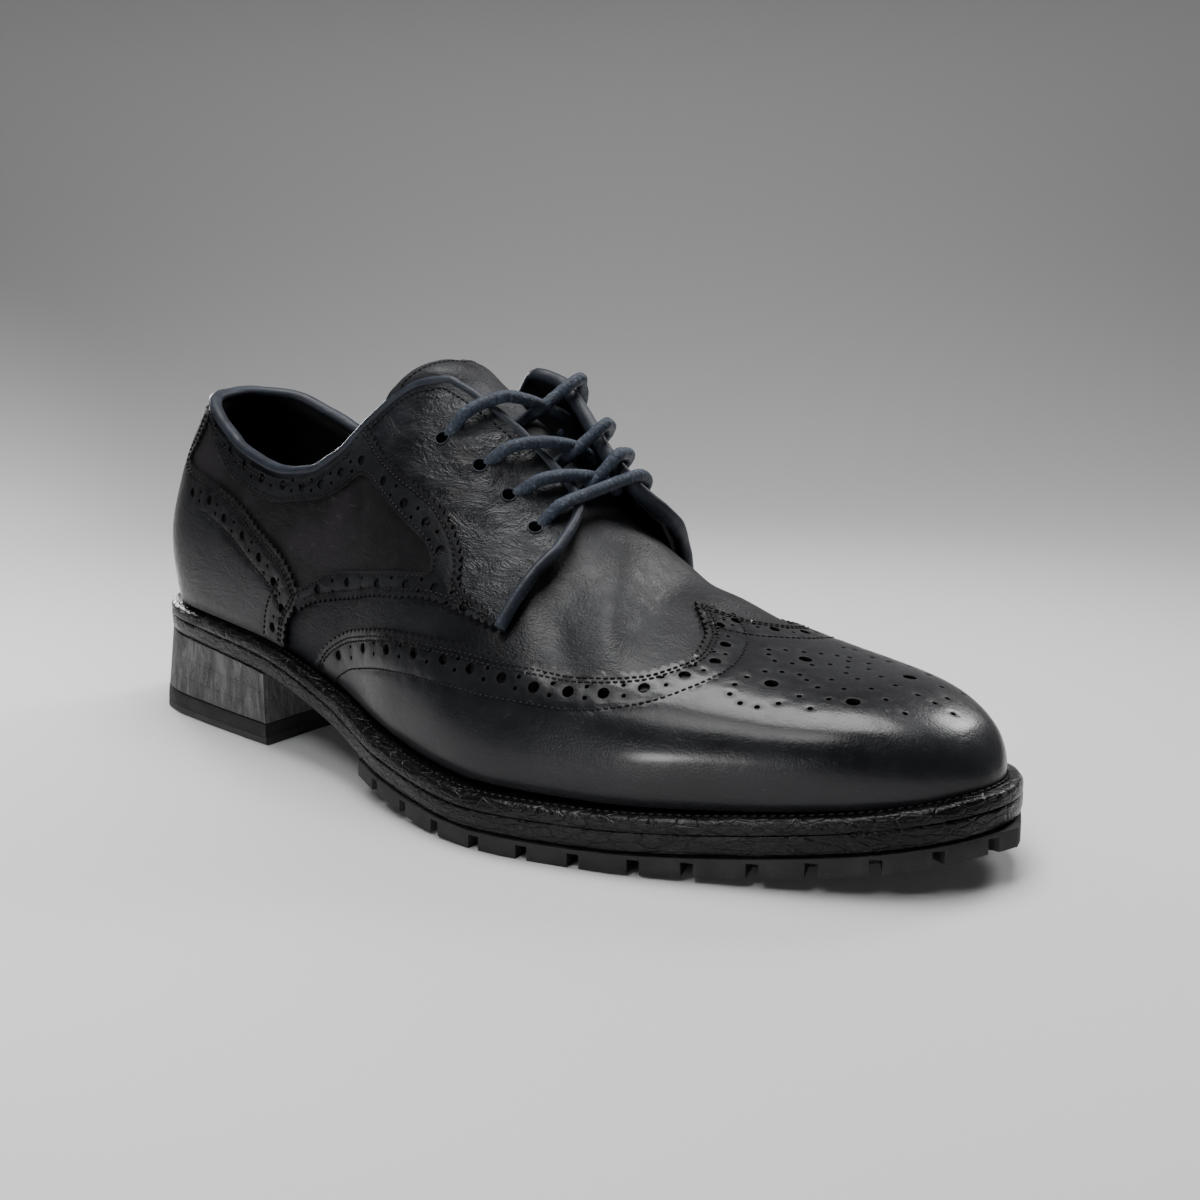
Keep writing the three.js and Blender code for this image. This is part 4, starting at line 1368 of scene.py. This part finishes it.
def make_toe_cap():
    """The winged cap with its punched border and medallion."""
    edge = pinked(vamp, wing_line(0), -1)
    outline = np.concatenate(
        [
            edge,
            straight(edge[-1], (TIP, WELT_SIDES[1]), 60)[1:-1],
            straight((TIP, WELT_SIDES[1]), (TIP, WELT_SIDES[0]), 40),
            straight((TIP, WELT_SIDES[0]), edge[0], 60)[1:-1],
        ]
    )
    holes = hole_rows(vamp, mirrored(WING_HOLES))
    for rows, radius, count in ((MEDALLION_BIG, 1.75, 18), (MEDALLION_SMALL, 0.7, 9)):
        for at, out in rows:
            along = np.array([math.copysign(along_of(at), out)])
            up = float(up_of_out(along, np.array([abs(out)]))[0])
            holes.append((np.array([abs(along[0]), 2 - up if out > 0 else up]), radius, count))
    seams = [wing_line(s) for s in SEAMS]
    cut_sheet(
        "winged_cap",
        vamp,
        [outline],
        holes,
        seams,
        1.9,
        1.2,
        0.05,
        finish("cap"),
        (300.0, 75.0),
        replaces=("toe_cap",),
    )
    stitches("toe_cap_stitches", [(vamp, line, 1.1) for line in seams], finish("thread"))


def mirrored(rows):
    """A table of at and up as places from the outer side over the ridge to the inner side."""
    half = np.array(rows)
    line = np.stack([along_of(half[:, 0]), half[:, 1]], axis=1)
    other = np.stack([line[::-1, 0], 2 - line[::-1, 1]], axis=1)
    return np.concatenate([line, other])


def counter_surface(along, share, off=0):
    """The counter's surface: share runs up it in shares of the collar's height."""
    rise = np.clip(share, 0, 1.2) * BACK_HEIGHT
    up = up_of_rise(along, rise)
    return quarter(along, up, np.asarray(off, float) + QUARTER_SKIN)


# The counter's foot and top as shares of the collar's height.
COUNTER_ENDS = (0.02, 0.95)


def make_counter():
    """The counter, folded round the heel, with its back strip."""
    shares = np.linspace(*COUNTER_ENDS, 160)
    front = np.stack([along_of(counter_at(shares)), shares], axis=1)
    right = pinked(counter_surface, front, 1)
    left = right[::-1] * np.array([-1, 1])
    foot = straight((left[-1, 0], COUNTER_ENDS[0]), (right[0, 0], COUNTER_ENDS[0]), 90)[1:-1]
    top = straight((right[-1, 0], COUNTER_ENDS[1]), (left[0, 0], COUNTER_ENDS[1]), 60)[1:-1]
    outline = np.concatenate([right, top, left, foot])
    holes, seams = [], []
    for side in (-1, 1):
        holes += hole_rows(counter_surface, both_sides(COUNTER_HOLES, side))
        flip = np.array([side, 1])
        for gap in (-1.8, -3.0):
            near = beside(counter_surface, front, gap) * flip
            seams.append(near[(near[:, 1] > 0.03) & (near[:, 1] < 0.93) & (np.abs(near[:, 0]) > 0.045)])
        inner = beside(counter_surface, front, -11.0)
        inner = inner[(inner[:, 1] > 0.03) & (inner[:, 1] < 0.5) & (inner[:, 0] > 0.16)]
        seams.append(inner * flip)
    cut_sheet(
        "counter_leather",
        counter_surface,
        [outline],
        holes,
        seams,
        2.4,
        1.1,
        -0.1,
        finish("counter"),
        (330.0, 62.0),
        replaces=("heel_counter",),
    )
    stitches("counter_stitches", [(counter_surface, s, 1.02) for s in seams], finish("thread"))


def band_surface(along, up, off=0):
    """The quarters' outer face, on which the bands lie."""
    return quarter(along, up, np.asarray(off, float) + QUARTER_SKIN)


def make_bands():
    """The punched bands of both quarters, C-shaped round the plain panel."""
    for side, label in ((-1, "lateral"), (1, "medial")):
        rim_along = np.linspace(along_of(0.078), along_of(0.362), 90)
        rim = np.stack([side * rim_along, quarter_top(side * rim_along) - 0.012], axis=1)
        front = smooth_path(both_sides(BAND_FRONT, side), 200)
        front[:, 1] = np.minimum(front[:, 1], quarter_top(front[:, 0]) - 0.012)
        foot_at = np.linspace(0.606, 0.318, 120)
        foot = np.stack([side * along_of(foot_at), foot_up(foot_at)], axis=1)
        foot_cut = pinked(band_surface, foot, -side)
        front_cut = pinked(band_surface, front, -side)
        panel = smooth_path(both_sides(PANEL_EDGE, side), 240)
        outline = np.concatenate([rim, front_cut[3:-1], foot_cut[1:], panel[::-1]])
        holes = []
        for rows in (COLLAR_HOLES, FACING_HOLES, LOWER_HOLES):
            holes += hole_rows(band_surface, both_sides(rows, side))
        seams = [
            beside(band_surface, front, side * 1.7)[8:-4],
            beside(band_surface, foot, side * 1.9)[4:-4],
            beside(band_surface, panel, -side * 1.2)[2:-2],
            beside(band_surface, rim, side * 1.6)[6:],
        ]
        cut_sheet(
            f"band_leather_{label}",
            band_surface,
            [outline],
            holes,
            seams,
            2.0,
            0.95,
            -0.2,
            finish("band"),
            (300.0, 110.0),
            replaces=(f"quarter_band_{label}",),
        )
        runs = [(band_surface, seam, 0.88) for seam in seams]
        stitches(f"band_stitches_{label}", runs, finish("thread"))


def make_binding():
    """The rolled edge up one facing, round the collar and down the other."""
    end = float(along_of(CORNER_AT))
    down = np.linspace(1, 0, 40)
    left = np.stack([np.full(40, -end), mix(quarter_top(-end), quarter_low(-end), down)], axis=1)
    top_along = np.linspace(-end, end, 460)
    top = np.stack([top_along, quarter_top(top_along)], axis=1)
    right = left[::-1] * np.array([-1, 1])
    line = np.concatenate([left[:-1], top, right[1:]])
    at = share_of(line[:, 0])
    raised = (BINDING_RADIUS + 0.3) * ease((at - 0.54) / (CORNER_AT - 0.54))
    points = quarter(line[:, 0], line[:, 1], raised)
    normals = normal_at(line[:, 0], line[:, 1])
    run = unit(np.gradient(points, axis=0))
    out = unit(np.cross(run, normals))
    soft = np.array([noise.noise(Vector(p * 0.18)) for p in points]) * 0.18
    centre = points + out * (0.9 + soft[:, None])
    sides = 14
    turn = 2 * np.pi * np.arange(sides) / sides
    wide = 2.15 + soft
    ring_points = (
        centre[:, None]
        + np.cos(turn)[None, :, None] * out[:, None] * (BINDING_RADIUS + soft)[:, None, None]
        + np.sin(turn)[None, :, None] * normals[:, None] * wide[:, None, None]
    )
    faces = tube_faces(len(centre), sides)
    mesh_piece(
        "rolled_binding",
        ring_points.reshape(-1, 3),
        faces,
        finish("binding"),
        replaces=("collar_binding",),
        slot="binding",
    )
    seam = np.stack([line[:, 0], line[:, 1] - 0.03], axis=1)[60:-60]
    stitches("binding_stitches", [(quarter, seam, QUARTER_SKIN + 0.12)], finish("thread"))


def tongue_surface(along_share, row, off=0):
    """Places on the tongue: across it from -1 to 1, and down it from 0 to 1."""
    reach = np.abs(along_share)
    at = mix(tongue_at(reach), TONGUE_FOOT_AT, row)
    out = along_share * TONGUE_WIDTH / 2 * mix(1, TONGUE_FOOT_SHARE, row)
    side = np.where(out < 0, -1, 1)
    up = up_of_out(side * along_of(at), np.abs(out))
    bare = up - quarter_top(side * along_of(at))
    stand = tongue_stand(reach) * ease((bare + 0.015) / 0.05) * ease((0.3 - row) / 0.25)
    return skin(-along_of(at), np.where(out < 0, up, 2 - up), off + stand)


def make_tongue():
    """The tongue with its row of stitches at the top."""
    share, row = np.meshgrid(np.linspace(-1, 1, 70), np.linspace(0, 1, 90), indexing="ij")
    wave = 0.35 * np.sin(row * 26 + share * 3) * ease(row * 4)
    points, faces = sheet(tongue_surface, share, row, -2.0 + wave, -4.2 + wave)
    mesh_piece("tongue_leather", points, faces[:, ::-1], finish("tongue"), replaces=("tongue",))
    across = np.linspace(-0.96, 0.96, 120)
    seam = np.stack([across, np.full(120, 0.035)], axis=1)
    stitches("tongue_stitches", [(tongue_surface, seam, -1.9)], finish("thread"))


def sole_ring(count):
    """Points round the sole at height zero, their outward directions and their shares."""
    a = np.linspace(-1, 1, 2 * count + 1)[:-1]
    side = np.where(a < 0, -1.0, 1.0)
    at = share_of(a)
    point = np.stack([at * SOLE_LENGTH, swing(at) + side * half_width(side, at), 0 * at], axis=1)
    point = even(np.concatenate([point, point[:1]]), 2 * count + 1)[:-1]
    run = unit(np.roll(point, -1, axis=0) - np.roll(point, 1, axis=0))
    out = np.stack([-run[:, 1], run[:, 0], 0 * run[:, 0]], axis=1)
    if (out * (point - point.mean(0))).sum() < 0:
        out = -out
    return point, out, np.clip(point[:, 0] / SOLE_LENGTH, 0, 1)


def swept_ring(name, profile, base, material, rough=0.12, count=420, **facts):
    """A closed ring round the sole: profile is (out, height) from the base line."""
    point, out, at = sole_ring(count)
    rings = []
    for n, (reach, height) in enumerate(profile):
        line = point + out * reach
        line[:, 2] = base(at) + height
        shake = np.array([noise.noise(Vector((*(p * 0.11)[:2], n * 1.7))) for p in line])
        if 0 < n < len(profile) - 1 and reach > -4:
            line = line + out * (shake * rough)[:, None]
            line[:, 2] += shake * rough * 0.7
        rings.append(line)
    rings = np.stack(rings)
    total, width = len(profile), rings.shape[1]
    index = np.arange(total * width).reshape(total, width)
    faces = []
    for i in range(total):
        k = (i + 1) % total
        a, b = index[i], index[k]
        faces += np.stack([a, np.roll(a, -1), np.roll(b, -1), b], 1).tolist()
    piece = mesh_piece(name, rings.reshape(-1, 3), faces, material, **facts)
    recalculate(piece)
    return piece


def recalculate(piece):
    """Turns the faces outward."""
    work = bmesh.new()
    work.from_mesh(piece.data)
    bmesh.ops.recalc_face_normals(work, faces=work.faces)
    work.to_mesh(piece.data)
    work.free()


def make_welt():
    """The welt and its row of stitches."""
    profile = (
        (-11.5, -0.3),
        (-5.0, -0.1),
        (-2.2, 0.0),
        (-0.9, -0.1),
        (-0.3, -0.5),
        (0.0, -1.2),
        (0.15, -2.4),
        (0.15, -3.3),
        (-0.1, -3.55),
        (-11.5, -3.55),
    )
    swept_ring("welt_edge", profile, welt_top, finish("edge"), 0.22, replaces=("welt",), slot="edge")
    point, out, at = sole_ring(300)
    line = point - out * 3.4
    line[:, 2] = welt_top(at) + 0.05
    spots = even(np.concatenate([line, line[:1]]), 300)[:-1]
    run = unit(np.roll(spots, -1, axis=0) - np.roll(spots, 1, axis=0))
    points, faces = [], []
    for centre, ahead in zip(spots, run):
        faces += tube_faces(len(STITCH), STITCH_SIDES, len(points))
        points += stitch(centre, ahead, np.array([0, 0, 1.0]), 1.5)
    mesh_piece("welt_stitches", points, faces, finish("thread"), slot="edge")


def make_midsole():
    """The midsole's edge and the flat core inside it."""
    profile = (
        (-14.0, 0.0),
        (-0.1, 0.0),
        (0.15, -0.2),
        (0.2, -0.9),
        (0.15, -2.2),
        (0.05, -3.6),
        (-0.15, -4.5),
        (-0.6, -5.1),
        (-1.4, -5.3),
        (-14.0, -5.3),
    )
    facts = {"replaces": ("midsole",), "slot": "edge"}
    swept_ring("midsole_edge", profile, midsole_top, finish("edge"), 0.2, **facts)
    at = share_of(np.linspace(0.02, 0.98, 160))
    rows = np.linspace(-1, 1, 24)
    x = np.repeat((at * SOLE_LENGTH)[:, None], 24, axis=1)
    lateral, medial = half_width(-1, at) - 9, half_width(1, at) - 9
    widest = np.maximum(np.where(rows[None] < 0, lateral[:, None], medial[:, None]), 0.5)
    reach = rows[None] * widest
    y = swing(at)[:, None] + reach
    top = np.stack([x, y, np.repeat(midsole_top(at)[:, None] - 0.4, 24, axis=1)], axis=-1)
    foot = np.stack([x, y, np.repeat(midsole_foot(at)[:, None] + 0.15, 24, axis=1)], axis=-1)
    points = np.concatenate([top.reshape(-1, 3), foot.reshape(-1, 3)])
    core = mesh_piece("midsole_core", points, shell_faces(*x.shape), finish("edge"), slot="edge")
    recalculate(core)


def copy_of(node, name, material, bevel):
    """A merged and bevelled copy of a solid of the frame."""
    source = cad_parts[node]
    piece = bpy.data.objects.new(name, source.data.copy())
    bpy.context.scene.collection.objects.link(piece)
    work = bmesh.new()
    work.from_mesh(piece.data)
    bmesh.ops.remove_doubles(work, verts=work.verts, dist=2e-6)
    bmesh.ops.dissolve_limit(work, angle_limit=0.01, verts=work.verts, edges=work.edges)
    work.to_mesh(piece.data)
    work.free()
    piece.data.materials.clear()
    piece.data.materials.append(material)
    bpy.ops.object.select_all(action="DESELECT")
    piece.select_set(True)
    bpy.context.view_layer.objects.active = piece
    modifier = piece.modifiers.new("Bevel", "BEVEL")
    modifier.width = bevel * MM
    modifier.segments = 2
    modifier.limit_method = "ANGLE"
    modifier.angle_limit = math.radians(35)
    bpy.ops.object.modifier_apply(modifier="Bevel")
    bpy.ops.object.shade_smooth_by_angle(angle=math.radians(40))
    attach(piece, "root")
    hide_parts(node)
    return piece


def make_tread():
    """The half sole with its lugs."""
    copy_of("outsole_tread", "lug_tread", finish("rubber"), 0.45)


def heel_ring(height, count=180, extra=0.0):
    """The heel's outline at a height, closed by its straight front."""
    end = HEEL_LENGTH / SOLE_LENGTH
    a = np.linspace(-along_of(end), along_of(end), count)
    at = share_of(a)
    side = np.where(a < 0, -1.0, 1.0)
    flare = HEEL_FLARE * (1 - height / HEEL_HEIGHT) * (1 - at / end)
    half = half_width(side, at)
    grown = half + flare * np.minimum(1, half / 9) + extra
    x = at * SOLE_LENGTH - flare * np.maximum(0, 1 - half / 9)
    line = np.stack([x, swing(at) + side * grown, np.full(count, height)], axis=1)
    front = np.linspace(line[-1], line[0], 40)[1:-1]
    front[:, 0] -= 2.5 * np.sin(np.linspace(0, np.pi, 38))
    return np.concatenate([line, front])


def layered(name, levels, material, replaces, slot, top=None):
    """A solid of rings at heights (height, out); top bends the last ring to the sole."""
    rings = []
    for height, extra in levels:
        line = heel_ring(height, extra=extra)
        centre = line.mean(0)
        shake = np.array([noise.noise(Vector(p * 0.14)) for p in line]) * 0.25
        away = unit(line - centre)
        rings.append(line + away * shake[:, None])
    if top is not None:
        low = rings[-1][:, 2].mean()
        for line in rings[1:]:
            at = np.clip(line[:, 0] / SOLE_LENGTH, 0, 1)
            share = (line[:, 2] - rings[0][:, 2].mean()) / (low - rings[0][:, 2].mean())
            line[:, 2] = rings[0][:, 2].mean() + share * (top(at) - rings[0][:, 2].mean())
    total, width = len(rings), len(rings[0])
    points = np.concatenate([*rings, [rings[0].mean(0)], [rings[-1].mean(0)]])
    index = np.arange(total * width).reshape(total, width)
    faces = []
    for i in range(total - 1):
        a, b = index[i], index[i + 1]
        faces += np.stack([a, np.roll(a, -1), np.roll(b, -1), b], 1).tolist()
    low, high = total * width, total * width + 1
    faces += [[index[0][(j + 1) % width], index[0][j], low] for j in range(width)]
    faces += [[index[-1][j], index[-1][(j + 1) % width], high] for j in range(width)]
    piece = mesh_piece(name, points, faces, material, replaces=replaces, slot=slot)
    recalculate(piece)
    smooth_by_angle(piece, 40)
    return piece


def make_heel():
    """The heel's lifts, the rubber top piece and the strip at its foot."""
    stack = [(6.8, -0.3), (7.1, 0.0)]
    for level in (12.5, 19.0):
        stack += [(level - 0.3, 0.05), (level, -0.1), (level + 0.3, 0.05)]
    stack += [(25.9, 0.0)]
    layered("heel_lifts", stack, finish("stack"), ("heel_stack",), "stack", midsole_foot)
    top_piece = [(2.4, -0.1), (2.7, 0.15), (6.0, 0.15), (6.5, -0.2)]
    layered("top_piece", top_piece, finish("rubber"), ("heel_top_piece",), "rubber")
    strip = [(0.0, -0.4), (0.4, 0.1), (2.0, 0.1), (2.4, -0.2)]
    layered("top_piece_strip", strip, finish("strip"), (), "rubber")


EYELET_RADIUS = 1.9
EYELET_RIM = 0.22
EYELET_SIDES = 24


def make_eyelets():
    """Dark discs in thin rims, where the lace comes through the facings."""
    points, faces = [], []
    dark_points, dark_faces = [], []
    for side in (-1, 1):
        for at, up in EYELETS[side]:
            along = side * float(along_of(at))
            loop = ring(quarter, (along, up), EYELET_RADIUS, EYELET_SIDES)
            edge, high, low = (
                quarter(loop[:, 0], loop[:, 1], np.full(EYELET_SIDES, QUARTER_SKIN + off))
                for off in (0.1, 0.08, -0.4)
            )
            path = np.concatenate([edge, edge[:1]])
            lead = normal_at(np.array([along]), np.array([up]))[0]
            tube = tube_points(path, EYELET_RIM, 8, lead=lead)
            faces += tube_faces(len(path), 8, len(points))
            points += tube.reshape(-1, 3).tolist()
            start = len(dark_points)
            foot = start + EYELET_SIDES
            dark_points += [*high.tolist(), *low.tolist()]
            dark_faces.append(list(range(start, foot)))
            dark_faces.append(list(range(foot + EYELET_SIDES - 1, foot - 1, -1)))
            for k in range(EYELET_SIDES):
                n = (k + 1) % EYELET_SIDES
                dark_faces.append([start + n, start + k, foot + k, foot + n])
    recalculate(mesh_piece("eyelet_rims", points, faces, finish("binding"), slot="binding"))
    recalculate(mesh_piece("eyelet_holes", dark_points, dark_faces, finish("eyelet"), slot="lining"))


def over_facing(side, row, advance, start_off):
    """From an eyelet up to its facing's edge and over it."""
    at, up = row
    points = []
    for t in np.linspace(0, 1, 5):
        along = side * along_of(mix(at, at + advance, t))
        edge = quarter_top(along)
        off = mix(start_off, BINDING_RADIUS + sizes().lace_radius + 0.9, ease(1.6 * t))
        points.append(quarter(along, mix(up, edge, t), off))
    return points


def make_laces():
    """Three crossings and one straight run; hidden ends stop under the facings."""
    cords = []
    for n in range(3):
        for side in (-1, 1):
            row = EYELETS[side][n]
            over = over_facing(side, row, 0.018, QUARTER_SKIN - 2.4)
            far_along = -side * along_of(row[0] + 0.03)
            under = quarter(far_along, quarter_top(far_along) - 0.03, -4.4)
            last = over[-1]
            ahead = unit(over[-1] - over[-2])
            mid = last + ahead * 5 + np.array([0, 0, -0.6])
            path = [*over, mid, mix(mid, under, 0.55) + np.array([0, 0, -1.2 * side]), under]
            cords.append((f"lace_run_{n + 1}_{'outer' if side < 0 else 'inner'}", path, n))
    left = over_facing(-1, EYELETS[-1][3], 0.004, QUARTER_SKIN - 2.4)
    right = over_facing(1, EYELETS[1][3], 0.004, QUARTER_SKIN - 2.4)
    cords.append(("lace_run_4", [*left, *right[::-1]], 3))
    nodes = ("lace_cross_1", "lace_cross_2", "lace_cross_3", "lace_bar")
    shown = set()
    for name, path, n in cords:
        line = smooth_path(np.array(path), 90)
        sides = 16
        wobble = 1 + 0.06 * np.array([noise.noise(Vector(p * 0.5)) for p in line])
        rings = tube_points(line, sizes().lace_radius * wobble, sides)
        replaces = () if n in shown else (nodes[n],)
        shown.add(n)
        piece = mesh_piece(
            name,
            rings.reshape(-1, 3),
            tube_faces(len(line), sides),
            finish("lace"),
            replaces=replaces,
            slot="lace",
        )
        recalculate(piece)
        length = np.concatenate([[0], np.cumsum(np.linalg.norm(np.diff(line, axis=0), axis=1))])
        layer = piece.data.uv_layers.new(name="UVMap")
        for face in piece.data.polygons:
            wrap = max(v % sides for v in face.vertices) == sides - 1
            for loop in face.loop_indices:
                vertex = piece.data.loops[loop].vertex_index
                k = vertex % sides
                k = sides if wrap and k == 0 else k
                layer.data[loop].uv = (length[vertex // sides] / 4.0, k / sides)


def make_sock_lining():
    """The sock inside the shoe."""
    copy_of("insole", "sock_lining", finish("lining"), 0.6)


# Stage


# The floor in metres: half its length, where it starts to rise, the bend's radius, its height.
FLOOR_SIZE = 3.0
FLOOR_BACK = 0.45
FLOOR_BEND = 1.3
FLOOR_RISE = 3.0


def make_floor():
    """A floor that bends up into a wall behind the shoe."""
    work = bmesh.new()
    profile = [(-FLOOR_SIZE, 0.0), (FLOOR_BACK, 0.0)]
    for k in range(1, 33):
        turn = k / 32 * math.pi / 2
        out, high = FLOOR_BEND * math.sin(turn), FLOOR_BEND * (1 - math.cos(turn))
        profile.append((FLOOR_BACK + out, high))
    profile.append((FLOOR_BACK + FLOOR_BEND, FLOOR_RISE))
    turn = Euler((0, 0, CAMERA_YAW)).to_matrix()
    rows = []
    for y, z in profile:
        ends = (-1.6 * FLOOR_SIZE, 1.6 * FLOOR_SIZE)
        rows.append([work.verts.new(turn @ Vector((x, y, z))) for x in ends])
    for a, b in zip(rows, rows[1:]):
        work.faces.new([a[0], a[1], b[1], b[0]])
    mesh = bpy.data.meshes.new("floor")
    work.to_mesh(mesh)
    work.free()
    floor = bpy.data.objects.new("floor", mesh)
    bpy.context.scene.collection.objects.link(floor)
    mesh.materials.append(floor_material(tuple(bpy.context.scene.brogue_colours.floor)))
    mesh.shade_smooth()


CAMERA_YAW = 0.71
CAMERA_PITCH = 0.21
CAMERA_ROLL = -0.01
CAMERA_PLACE = (452.29, -316.78, 141.02)
FOCAL = 1570.18 / 1200 * 36


def make_camera():
    """The camera at the photograph's place."""
    data = bpy.data.cameras.new("camera")
    data.lens = FOCAL
    data.sensor_width = 36
    camera = bpy.data.objects.new("camera", data)
    bpy.context.scene.collection.objects.link(camera)
    camera.location = Vector(to_row(np.array(CAMERA_PLACE)))
    turn = Euler((math.pi / 2 - CAMERA_PITCH, 0, CAMERA_YAW), "XYZ").to_matrix()
    roll = Euler((0, 0, CAMERA_ROLL)).to_matrix()
    camera.rotation_euler = (turn @ roll).to_euler()
    bpy.context.scene.camera = camera


# name, azimuth from the camera's side, elevation, distance, size, power
LAMPS = (
    ("overhead", 170, 80, 1.25, 0.9, 10.5),
    ("left_back", -150, 12, 1.2, 0.3, 0.25),
    ("right_back", 130, 34, 1.3, 0.4, 0.4),
    ("front", -36, 5, 1.6, 0.25, 0.28),
    ("high_front", -40, 60, 1.5, 0.7, 0.5),
)


def make_lamps():
    """Soft lamps round the shoe and a faint sky."""
    base = math.degrees(CAMERA_YAW)
    for name, azimuth, elevation, distance, size, power in LAMPS:
        data = bpy.data.lights.new(name, "AREA")
        data.shape = "DISK"
        data.size = size
        data.energy = power
        data.spread = math.radians(130 if name == "overhead" else 40)
        lamp = bpy.data.objects.new(name, data)
        bpy.context.scene.collection.objects.link(lamp)
        a, e = math.radians(base + azimuth), math.radians(elevation)
        away = Vector((math.sin(a) * math.cos(e), -math.cos(a) * math.cos(e), math.sin(e)))
        lamp.location = away * distance + Vector((0, 0, 0.05))
        lamp.rotation_euler = (-away).to_track_quat("-Z", "Y").to_euler()
    world = bpy.data.worlds.new("studio")
    world.use_nodes = True
    sky = world.node_tree.nodes["Background"]
    sky.inputs["Color"].default_value = (0.9, 0.92, 0.95, 1)
    sky.inputs["Strength"].default_value = 0.035
    bpy.context.scene.world = world


# The add-on


def colour(name, description, value):
    return FloatVectorProperty(
        name=name, description=description, subtype="COLOR", min=0, max=1, default=value
    )


def size(name, description, value):
    return FloatProperty(name=name, description=description, min=0.1, soft_max=10, default=value)


class BrogueColours(bpy.types.PropertyGroup):
    """The colours that a user would change."""

    leather: colour("Leather", "Cap, vamp, counter and bands", (0.0055, 0.0058, 0.0072))
    panel: colour("Panel", "The plain panel of the quarter", (0.0085, 0.0072, 0.0084))
    binding: colour("Binding", "Rolled edge of the collar and the facings", (0.019, 0.023, 0.032))
    edge: colour("Edge", "Edge of the welt and the midsole", (0.002, 0.002, 0.0022))
    stack: colour("Stack", "Rubbed layers of the heel", (0.15, 0.15, 0.152))
    rubber: colour("Rubber", "Half sole and top piece", (0.012, 0.012, 0.0125))
    lace: colour("Lace", "Round waxed cord", (0.023, 0.031, 0.045))
    lining: colour("Lining", "Lining and sock lining", (0.008, 0.008, 0.01))
    floor: colour("Floor", "The studio's floor and wall", (0.78, 0.775, 0.78))


class BrogueSizes(bpy.types.PropertyGroup):
    """The sizes that a user would change, in millimetres."""

    big_hole: size("Big hole", "Radius of the bands' big holes", 1.5)
    small_hole: size("Small hole", "Radius of the pairs of small holes", 0.6)
    tooth_pitch: size("Tooth pitch", "Distance between the pinked teeth", 2.5)
    tooth_depth: size("Tooth depth", "How deep the teeth are cut", 1.1)
    stitch_pitch: size("Stitch pitch", "Distance between stitches", 1.75)
    lace_radius: size("Lace radius", "Half the lace's thickness", 1.75)


def step(idname, label, doc, *makers):
    """An operator that runs the makers of one group of pieces."""

    def execute(self, context):
        for maker in makers:
            maker()
        return {"FINISHED"}

    name = "BROGUE_OT_" + idname
    return type(
        name,
        (bpy.types.Operator,),
        {"__doc__": doc, "bl_idname": "brogue." + idname, "bl_label": label, "execute": execute},
    )


UPPER_MAKERS = (make_vamp, make_quarters)
SOLE_MAKERS = (make_welt, make_midsole, make_tread, make_sock_lining)
STEPS = (
    step("camera", "Add the camera", "Adds the camera.", make_camera),
    step("upper", "Add the upper", "Adds the vamp, the quarters and the lining.", *UPPER_MAKERS),
    step("toe_cap", "Add the toe cap", "Adds the winged cap with its holes.", make_toe_cap),
    step("counter", "Add the counter", "Adds the heel counter.", make_counter),
    step("bands", "Add the bands", "Adds the quarters' perforated bands.", make_bands),
    step("binding", "Add the binding", "Adds the rolled binding.", make_binding),
    step("tongue", "Add the tongue", "Adds the tongue.", make_tongue),
    step("sole", "Add the sole", "Adds the welt, midsole, tread and sock lining.", *SOLE_MAKERS),
    step("heel", "Add the heel", "Adds the stacked heel and its top piece.", make_heel),
    step("eyelets", "Add the eyelets", "Adds the eyelets.", make_eyelets),
    step("laces", "Add the laces", "Adds the laces.", make_laces),
    step("stage", "Add the stage", "Adds the floor and the lamps.", make_floor, make_lamps),
)


class BROGUE_PT_panel(bpy.types.Panel):
    """Lists the steps, the sizes and the colours."""

    bl_label = "Full brogue derby"
    bl_space_type = "VIEW_3D"
    bl_region_type = "UI"
    bl_category = "Brogue"

    def draw(self, context):
        for operator in STEPS:
            self.layout.operator(operator.bl_idname)
        for name in BrogueSizes.__annotations__:
            self.layout.prop(context.scene.brogue_sizes, name)
        for name in BrogueColours.__annotations__:
            self.layout.prop(context.scene.brogue_colours, name)


CLASSES = (BrogueSizes, BrogueColours, *STEPS, BROGUE_PT_panel)


def register():
    for item in CLASSES:
        bpy.utils.register_class(item)
    bpy.types.Scene.brogue_sizes = PointerProperty(type=BrogueSizes)
    bpy.types.Scene.brogue_colours = PointerProperty(type=BrogueColours)


def unregister():
    del bpy.types.Scene.brogue_colours
    del bpy.types.Scene.brogue_sizes
    for item in reversed(CLASSES):
        bpy.utils.unregister_class(item)


def main():
    register()
    bpy.ops.brogue.camera()
    bpy.ops.brogue.upper()
    bpy.ops.brogue.toe_cap()
    bpy.ops.brogue.counter()
    bpy.ops.brogue.bands()
    bpy.ops.brogue.binding()
    bpy.ops.brogue.tongue()
    bpy.ops.brogue.sole()
    bpy.ops.brogue.heel()
    bpy.ops.brogue.eyelets()
    bpy.ops.brogue.laces()
    bpy.ops.brogue.stage()


if __name__ == "__main__":
    main()
